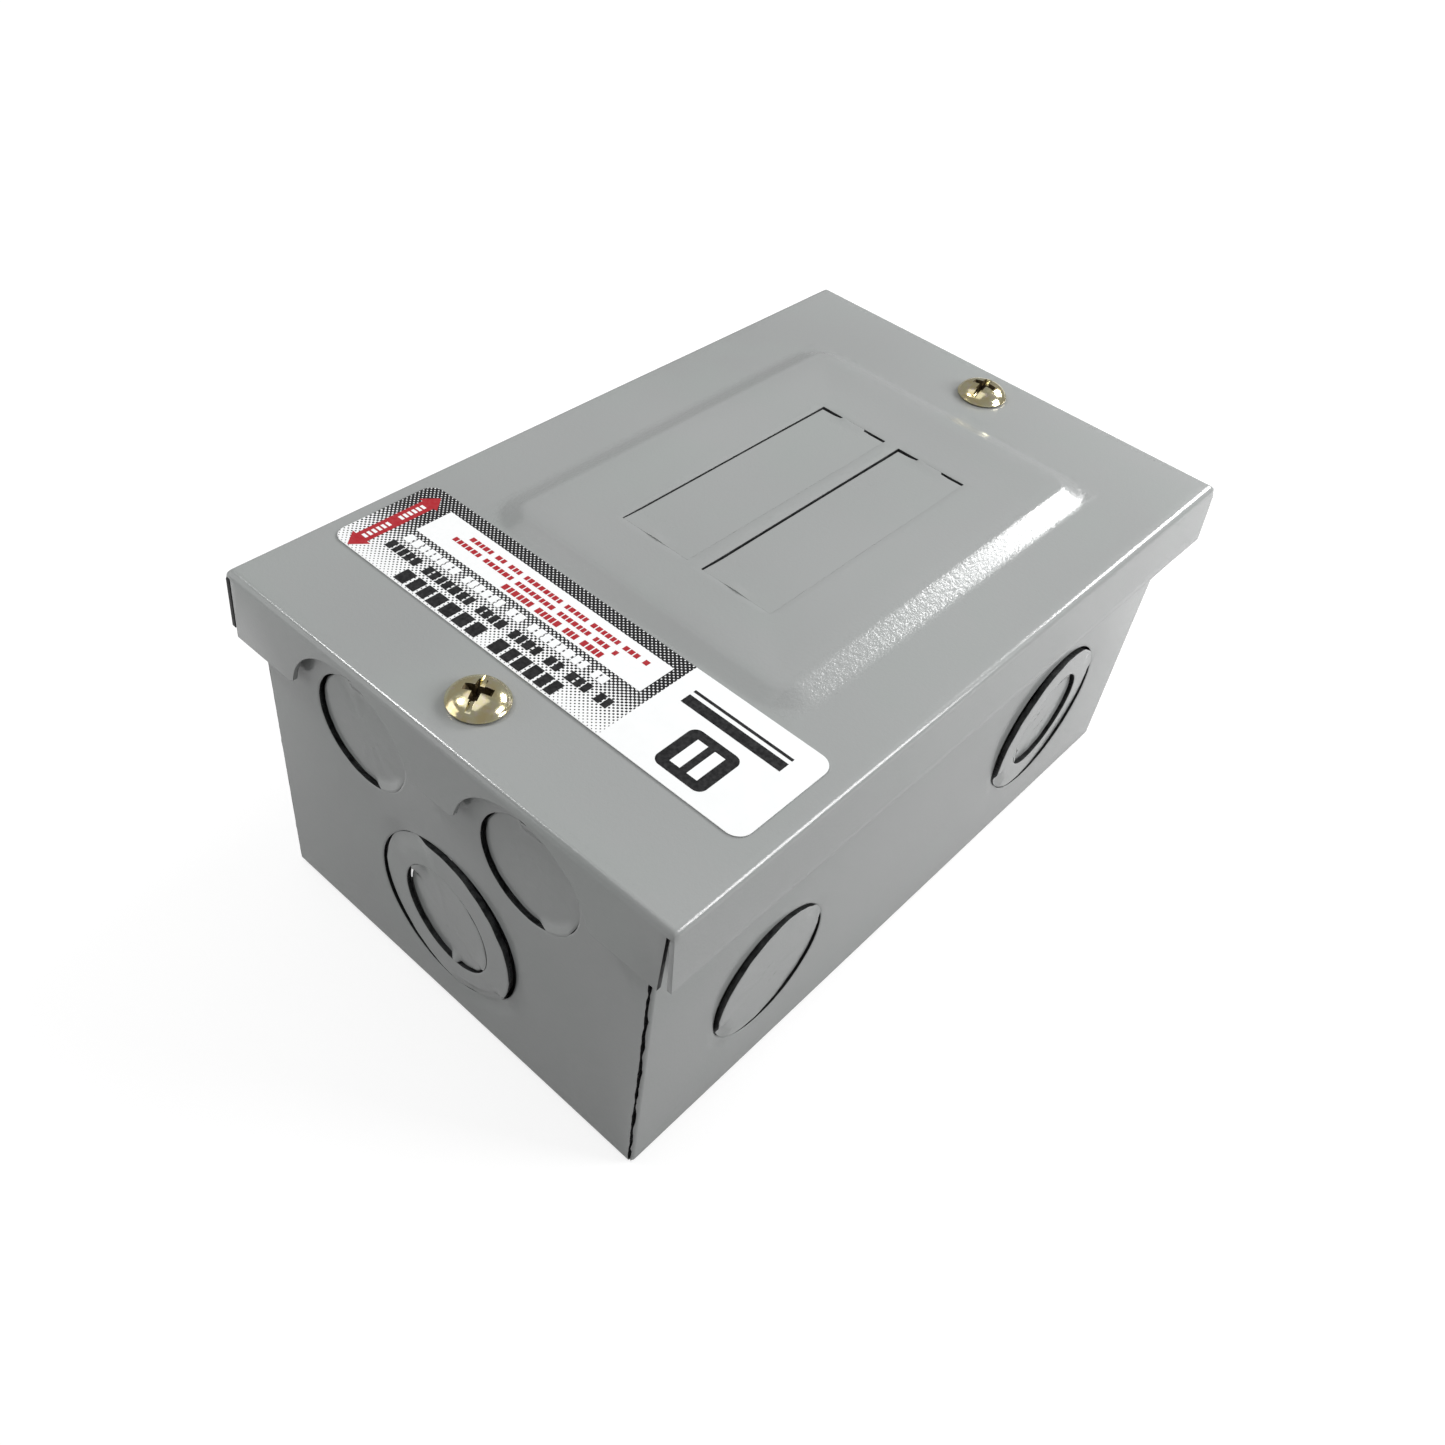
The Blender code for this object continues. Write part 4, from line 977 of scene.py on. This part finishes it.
def make_knockout(name, wall, place, radius, lean, ties, bore=0.0, holder=WALL_FACE, gap=0.00028, seed=0):
    """A punched slug that leans out of the wall or into it, but where its ties carry it back to the sheet round it.

    holder is how that sheet itself lies: the wall, or the ring that holds a disc.
    """
    inner = bore or 0.0030
    reach = radius - inner
    rolled = [radius - 0.00030, radius - 0.00018, radius - 0.00008, radius]
    radii = steps(inner + (0.0003 if bore else 0.0), radius - 0.0004, max(0.0008, reach / 14)) + rolled
    if bore:
        radii = [inner, inner + 0.00008, inner + 0.00018] + radii
    skin = Skin()
    rows = []
    for r in radii:
        row = []
        for angle in turns(120):
            holds = [(tie, tie.hold(angle)) for tie in ties]
            held = max(hold for _, hold in holds)
            wave = jitter(3 * cos(angle) + 2 * sin(angle), seed, 0.00008) * r / radius
            lift = lean.level(r, angle) + wave
            level = lift
            for tie, hold in holds:
                share = hold * ease((r - radius + tie.reach) / (tie.reach - 0.0003))
                level += (holder.level(r, angle) - lift) * share
            near_rim = ease((r - radius + 0.0004) / 0.0004)
            slack = (gap + jitter(6 * angle, seed + 3, 0.5 * gap)) * (1 - held) + 0.00003
            level -= 0.00009 * near_rim * near_rim * (1 - held)
            if bore:
                near_bore = ease((inner + 0.0003 - r) / 0.0003)
                level -= 0.00008 * near_bore * near_bore
            row.append(wall.point(*around(place, r - slack * (r - inner) / reach, angle), level))
        rows.append(row)
    skin.grid(rows, wall.out, closed=True)
    if not bore:
        skin.panel([rows[0]], wall.out)
    # Painted shade: the slug's rims take the dark rim material, which draws the dark crescents round it.
    piece(skin.bm, f"{name}_slug", name, SHEET, name)


def make_ring_and_disc(name, wall, place, ring, disc, holder, gap, seeds):
    """A one-inch ring in the wall, with a half-inch disc in it."""
    ring_lean, *ring_ties = ring
    disc_lean, *disc_ties = disc
    make_knockout(f"{name}_ring", wall, place, ONE_INCH, ring_lean, ring_ties, HALF_INCH, holder, gap, seeds[0])
    make_knockout(f"{name}_disc", wall, place, HALF_INCH, disc_lean, disc_ties, holder=ring_lean, seed=seeds[1])


END_RING = (Lean(0.00045, 0.00085, 20, ONE_INCH), Tie(130, 20, 0.0036), Tie(304, 24, 0.0036))
END_DISC = (Lean(-0.00010, 0.00105, 25, HALF_INCH), Tie(345, 14, 0.0026), Tie(278, 5, 0.0016), Tie(140, 13, 0.0026))
CORNER_TIES = (Tie(90, 14, 0.0030), Tie(-52, 22, 0.0016))
SIDE_RING = (Lean(0.00040, 0.00095, 140, ONE_INCH), Tie(SIDE_TIE, 12, 0.0032), Tie(212, 11, 0.0030))
SIDE_DISC = (Lean(-0.00060, 0.00040, 140, HALF_INCH), Tie(SIDE_TIE + 180, 12, 0.0028), Tie(72, 10, 0.0026))
UPPER_LEAN = Lean(0.00030, 0.00080, 140, THREE_QUARTER_INCH)
UPPER_TIES = (Tie(SIDE_TIE, 13, 0.0030), Tie(208, 12, 0.0030))


def make_knockouts():
    for end, y_sign in ENDS.items():
        wall = Wall("y", y_sign)
        for side, x_sign in SIDES.items():
            place = (x_sign * CORNER_KNOCKOUT[0], CORNER_KNOCKOUT[1])
            seed = 3 * x_sign + 5 * y_sign + 30
            make_knockout(f"{end}_{side}_knockout", wall, place, HALF_INCH, Lean(-0.00090), CORNER_TIES, seed=seed)
        place = (0.0, CENTRE_KNOCKOUT_Z)
        seeds = (11 + y_sign, 16 + y_sign)
        make_ring_and_disc(f"{end}_centre_knockout", wall, place, END_RING, END_DISC, DENTED, 0.00050, seeds)
    for side, x_sign in SIDES.items():
        wall = Wall("x", x_sign)
        name = f"{side}_upper_knockout"
        upper = (name, wall, UPPER_KNOCKOUT, THREE_QUARTER_INCH, UPPER_LEAN, UPPER_TIES)
        make_knockout(*upper, gap=0.00036, seed=50 + x_sign)
        name = f"{side}_lower_knockout"
        seeds = (56 + x_sign, 62 + x_sign)
        make_ring_and_disc(name, wall, LOWER_KNOCKOUT, SIDE_RING, SIDE_DISC, WALL_FACE, 0.00044, seeds)


# The cover screws.

SCREW_HEAD = (0.0052, 0.0026)  # radius and height
SCREW_SHANK = 0.0022
SCREW_LENGTH = 0.0130
THREAD_PITCH = 0.00106
THREAD_DEPTH = 0.00034
SCREW_TURNS = {"top": 27, "bottom": 7}  # degrees
SCREW_SIDES = 64
DOME_ANGLE = radians(78)
DOME_FOOT = 0.00055  # above the seat
CROSS = (0.00080, 0.0029, 0.0030, 0.30)  # a blade's half width, half length, depth and draft
# The cross blades leave their painted-shade material on the recess they cut; the slot keeps the plating.
BLADES = ((0, CROSS, RECESS_SHADE), (90, CROSS, RECESS_SHADE), (90, (0.00046, 0.0065, 0.0017, 0.97), YELLOW_ZINC))


def blade(turn, top, half_width, half_length, depth, draft, material):
    """A cutter for a screw's head, shorter and narrower at its bottom."""
    rows = []
    for level, shrink in ((top, 1.0), (top - depth, draft)):
        width, length = half_width * (0.6 + 0.4 * shrink), half_length * shrink
        corners = ((-length, -width), (length, -width), (length, width), (-length, width))
        rows.append([turn @ Vector((x, y, level)) for x, y in corners])
    skin = Skin()
    skin.grid(rows, -UP, closed=True)
    skin.panel([rows[0]], UP)
    skin.panel([rows[1]], -UP)
    return add_mesh("blade", skin.bm, material)


def head_rings(seat):
    """The radius and level of each ring of points from a screw's crown to its shank."""
    radius, height = SCREW_HEAD
    rings = []
    for angle in steps(0.0, DOME_ANGLE, DOME_ANGLE / 14):
        share = (cos(angle) - cos(DOME_ANGLE)) / (1 - cos(DOME_ANGLE))
        ring = 0.965 * radius * sin(angle) / sin(DOME_ANGLE)
        rings.append((ring, seat + DOME_FOOT + (height - DOME_FOOT) * share))
    rings += [(0.985 * radius, seat + 0.00046), (radius, seat + 0.00034), (radius, seat + 0.00012)]
    return rings + [(0.985 * radius, seat), (SCREW_SHANK + 0.0003, seat), (SCREW_SHANK, seat - 0.0004)]


def thread_radius(z, angle, seat, tip):
    wave = 0.5 + 0.5 * cos(tau * (z / THREAD_PITCH) + angle)
    fade = ease((seat - 0.0012 - z) / 0.001) * ease((z - tip) / 0.0012)
    return SCREW_SHANK - THREAD_DEPTH * wave * fade - 0.0007 * (1 - ease((z - tip) / 0.0010))


def make_cover_screw(end):
    """A plated truss-head screw: a domed head on a thin rim, with a cross recess and a slot, and a rolled thread."""
    name = f"cover_screw_{end}"
    low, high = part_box(name)
    centre = Vector(((low.x + high.x) / 2, (low.y + high.y) / 2, 0.0))
    seat = high.z - SCREW_HEAD[1]
    rows = [circle((centre.x, centre.y, z), radius, SCREW_SIDES) for radius, z in head_rings(seat)]
    z = rows[-1][0][2]
    tip = seat - SCREW_LENGTH
    while z > tip:
        z -= THREAD_PITCH / 6
        rows.append([(*around(centre, thread_radius(z, angle, seat, tip), angle), z) for angle in turns(SCREW_SIDES)])
    skin = Skin()
    skin.grid(rows, UP, closed=True)
    skin.panel([rows[-1]], -UP)
    screw = add_mesh(f"{name}_plated", skin.bm, YELLOW_ZINC, RECESS_SHADE)
    blades = []
    for degrees, sizes, material in BLADES:
        turn = Matrix.Translation(centre) @ Matrix.Rotation(radians(SCREW_TURNS[end] + degrees), 4, "Z")
        blades.append(blade(turn, high.z + 0.0004, *sizes, material))
        cut = screw.modifiers.new("Recess", "BOOLEAN")
        cut.operation = "DIFFERENCE"
        cut.solver = "EXACT"
        cut.object = blades[-1]
    soften(screw, 0.00007, 32)
    settle(screw, 32)
    for tool in blades:
        bpy.data.objects.remove(tool)
    join_frame(screw, name, name)


# The label.

LABEL_CORNER = 0.0027
LABEL_TOP = FACE + 0.00024
LABEL_THICKNESS = 0.00014
PRINT_STEP = 0.00002  # how far each layer of ink stands on the one below


def rounded_outline(low, high, radius, level):
    """A rectangle with rounded corners, as a loop of points."""
    points = []
    corners = ((high[0], high[1], 0), (low[0], high[1], 90), (low[0], low[1], 180), (high[0], low[1], 270))
    for x, y, start in corners:
        centre = (x - radius if x == high[0] else x + radius, y - radius if y == high[1] else y + radius)
        for angle in steps(start, start + 90, 10):
            points.append((*around(centre, radius, radians(angle)), level))
    return points


def make_label():
    skin = Skin()
    skin.panel([rounded_outline(LABEL_LOW, LABEL_HIGH, LABEL_CORNER, LABEL_TOP)], UP)
    piece(skin.bm, "label_film", "cover", LABEL_THICKNESS, "label", [VINYL, WHITE_INK])


class Print:
    """Flat shapes of ink on the label."""

    def __init__(self):
        self.bm = bmesh.new()

    def shape(self, points, colour, layer=1):
        verts = [self.bm.verts.new((x, y, LABEL_TOP + layer * PRINT_STEP)) for x, y in points]
        face = self.bm.faces.new(verts)
        face.material_index = colour
        face.normal_update()
        if face.normal.z < 0:
            face.normal_flip()

    def bar(self, low, high, colour, layer=1):
        (x0, y0), (x1, y1) = low, high
        self.shape([(x0, y0), (x1, y0), (x1, y1), (x0, y1)], colour, layer)

    def words(self, start, end, foot, height, unit, colour):
        """A row of plain blocks in groups, which stands for a line of words."""
        x = start
        left = DRAWS.randint(3, 8)
        while x + unit < end:
            width = unit * DRAWS.uniform(0.75, 1.15)
            self.bar((x, foot), (x + width * 0.80, foot + height), colour, 2)
            x += width
            left -= 1
            if left == 0:
                x += 0.8 * unit
                left = DRAWS.randint(2, 9)


BLACK, RED, WHITE = 0, 1, 2


def arrow(x, low, high):
    """A double-headed arrow along Y."""
    shaft, head, neck, throat = 0.0015, 0.0024, low + 0.0030, high - 0.0030
    points = [(x, low), (x + head, neck), (x + shaft, neck), (x + shaft, throat), (x + head, throat), (x, high)]
    return points + [(x - head, throat), (x - shaft, throat), (x - shaft, neck), (x - head, neck)]


def make_print():
    sheet = Print()
    sheet.shape(arrow(-0.0432, -0.0612, -0.0408), RED)
    for low, high in ((-0.0578, -0.0520), (-0.0500, -0.0444)):
        for start in steps(low, high - 0.0008, 0.0010):
            sheet.bar((-0.0438, start), (-0.0426, start + 0.0006), WHITE, 2)
    sheet.bar((-0.0390, -0.0499), (0.0151, -0.0420), WHITE)
    sheet.words(-0.0310, 0.0120, -0.0449, 0.0011, 0.0012, RED)
    sheet.words(-0.0330, 0.0080, -0.0470, 0.0011, 0.0012, RED)
    sheet.words(-0.0180, 0.0060, -0.0493, 0.0014, 0.0012, RED)
    sheet.words(-0.0385, 0.0130, -0.0532, 0.0020, 0.0018, WHITE)
    sheet.words(-0.0392, 0.0160, -0.0566, 0.0022, 0.0018, BLACK)
    sheet.words(-0.0315, 0.0090, -0.0609, 0.0032, 0.0029, BLACK)
    emblem = [(x, y) for x, y, _ in rounded_outline((0.0262, -0.0590), (0.0362, -0.0490), 0.0016, 0.0)]
    sheet.shape(emblem, BLACK)
    for start in (0.0284, 0.0319):
        sheet.bar((start, -0.0572), (start + 0.0021, -0.0508), WHITE, 2)
    sheet.bar((0.0208, -0.0466), (0.0412, -0.0444), BLACK)
    sheet.bar((0.0208, -0.0436), (0.0412, -0.0430), BLACK)
    piece(sheet.bm, "label_print", "cover", 0.0, "", [BLACK_INK, RED_INK, WHITE_INK])


# The interior keeps its CAD shapes, with softened edges and better materials.

INTERIOR = {
    "interior_base": (moulding("black_moulding", (0.028, 0.028, 0.031)), 0.00045),
    "neutral_insulator": (moulding("black_moulding_block", (0.030, 0.030, 0.033)), 0.00035),
    "line_bus": (brushed("tinned_bus", (0.74, 0.74, 0.72), 0.26, "Y"), 0.00020),
    "line_lug": (brushed("lug_aluminium", (0.78, 0.78, 0.79), 0.30, "Y"), 0.00040),
    "line_lug_screw": (brushed("lug_screw_steel", (0.60, 0.61, 0.63), 0.28, "Z"), 0.00010),
    "neutral_bar": (brushed("bar_aluminium", (0.76, 0.76, 0.78), 0.30, "Y"), 0.00035),
    "neutral_screws": (brushed("terminal_steel", (0.62, 0.62, 0.60), 0.26, "Z"), 0.00010),
    "bonding_screw": (brushed("green_screw", (0.05, 0.34, 0.14), 0.30, "Z", metallic=0.55), 0.00012),
    "hook_rail": (brushed("rail_zinc", (0.64, 0.65, 0.68), 0.30, "X"), 0.00015),
}


def finish_of(node):
    """The material and the edge rounding of an interior node."""
    for prefix in ("line_lug_screw", "line_lug", "line_bus"):
        if node.startswith(prefix):
            return INTERIOR[prefix]
    return INTERIOR.get(node, INTERIOR["neutral_screws"])


def dress_interior():
    for name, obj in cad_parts.items():
        if not obj.hide_render:
            material, width = finish_of(name)
            for slot in obj.material_slots:
                slot.material = material
            soften(obj, width, 40)


# The studio.

CAMERA_PLACE = (0.11513, -0.16635, 0.22033)
CAMERA_TURN = (45.019, -6.228, 41.781)  # degrees
CAMERA_LENS = 33.733


def make_camera():
    data = bpy.data.cameras.new("camera")
    data.lens = CAMERA_LENS
    data.sensor_width = 36.0
    data.clip_start = 0.01
    data.clip_end = 20.0
    camera = add_object("camera", data)
    camera.location = CAMERA_PLACE
    camera.rotation_euler = Euler([radians(value) for value in CAMERA_TURN])
    bpy.context.scene.camera = camera


MIDDLE = (0.0, 0.0, 0.05)
LIGHTS = (  # name, the way to it from its target, distance, width, height, power and target
    ("key", (0.75, 0.40, 0.56), 0.50, 0.22, 0.22, 1.75, (0.045, 0.06, 0.05)),
    ("back_strip", (0.13, 0.84, 0.53), 0.80, 0.26, 0.22, 3.6, MIDDLE),
    ("overhead", (-0.30, -0.06, 1.0), 1.20, 1.00, 1.00, 2.2, MIDDLE),
    ("left_front", (-0.56, -0.30, 0.77), 1.00, 0.17, 0.17, 2.4, MIDDLE),
    ("left_near", (-0.55, -0.72, 0.38), 0.22, 0.18, 0.18, 0.13, (-0.055, -0.08, 0.040)),
)
WORLD_LIGHT = 0.30  # the surroundings are white to the camera, and dimmer as a light


def make_lights():
    for name, way, distance, width, height, power, target in LIGHTS:
        data = bpy.data.lights.new(name, "AREA")
        data.shape = "RECTANGLE"
        data.size = width
        data.size_y = height
        data.energy = power
        light = add_object(name, data)
        away = Vector(way).normalized()
        light.location = Vector(target) + away * distance
        light.rotation_euler = away.to_track_quat("Z", "Y").to_euler()
    world = bpy.data.worlds.new("studio")
    world.use_nodes = True
    nodes, links = world.node_tree.nodes, world.node_tree.links
    background = nodes["Background"]
    background.inputs["Color"].default_value = grey(1)
    seen = nodes.new("ShaderNodeLightPath")
    strength = nodes.new("ShaderNodeMapRange")
    strength.inputs["To Min"].default_value = WORLD_LIGHT
    links.new(seen.outputs["Is Camera Ray"], strength.inputs["Value"])
    links.new(strength.outputs[0], background.inputs["Strength"])
    bpy.context.scene.world = world
    bpy.context.scene.view_settings.view_transform = "Standard"


def make_floor():
    bm = bmesh.new()
    bmesh.ops.create_grid(bm, x_segments=8, y_segments=8, size=3.0)
    floor = add_mesh("floor", bm, floor_paint())
    floor.location = (0, 0, -0.0002)


make_cover()
for side_name in SIDES:
    make_twist_out(side_name)
make_enclosure()
make_laps()
make_knockouts()
for end_name in ENDS:
    make_cover_screw(end_name)
make_label()
make_print()
dress_interior()
make_floor()
make_lights()
make_camera()
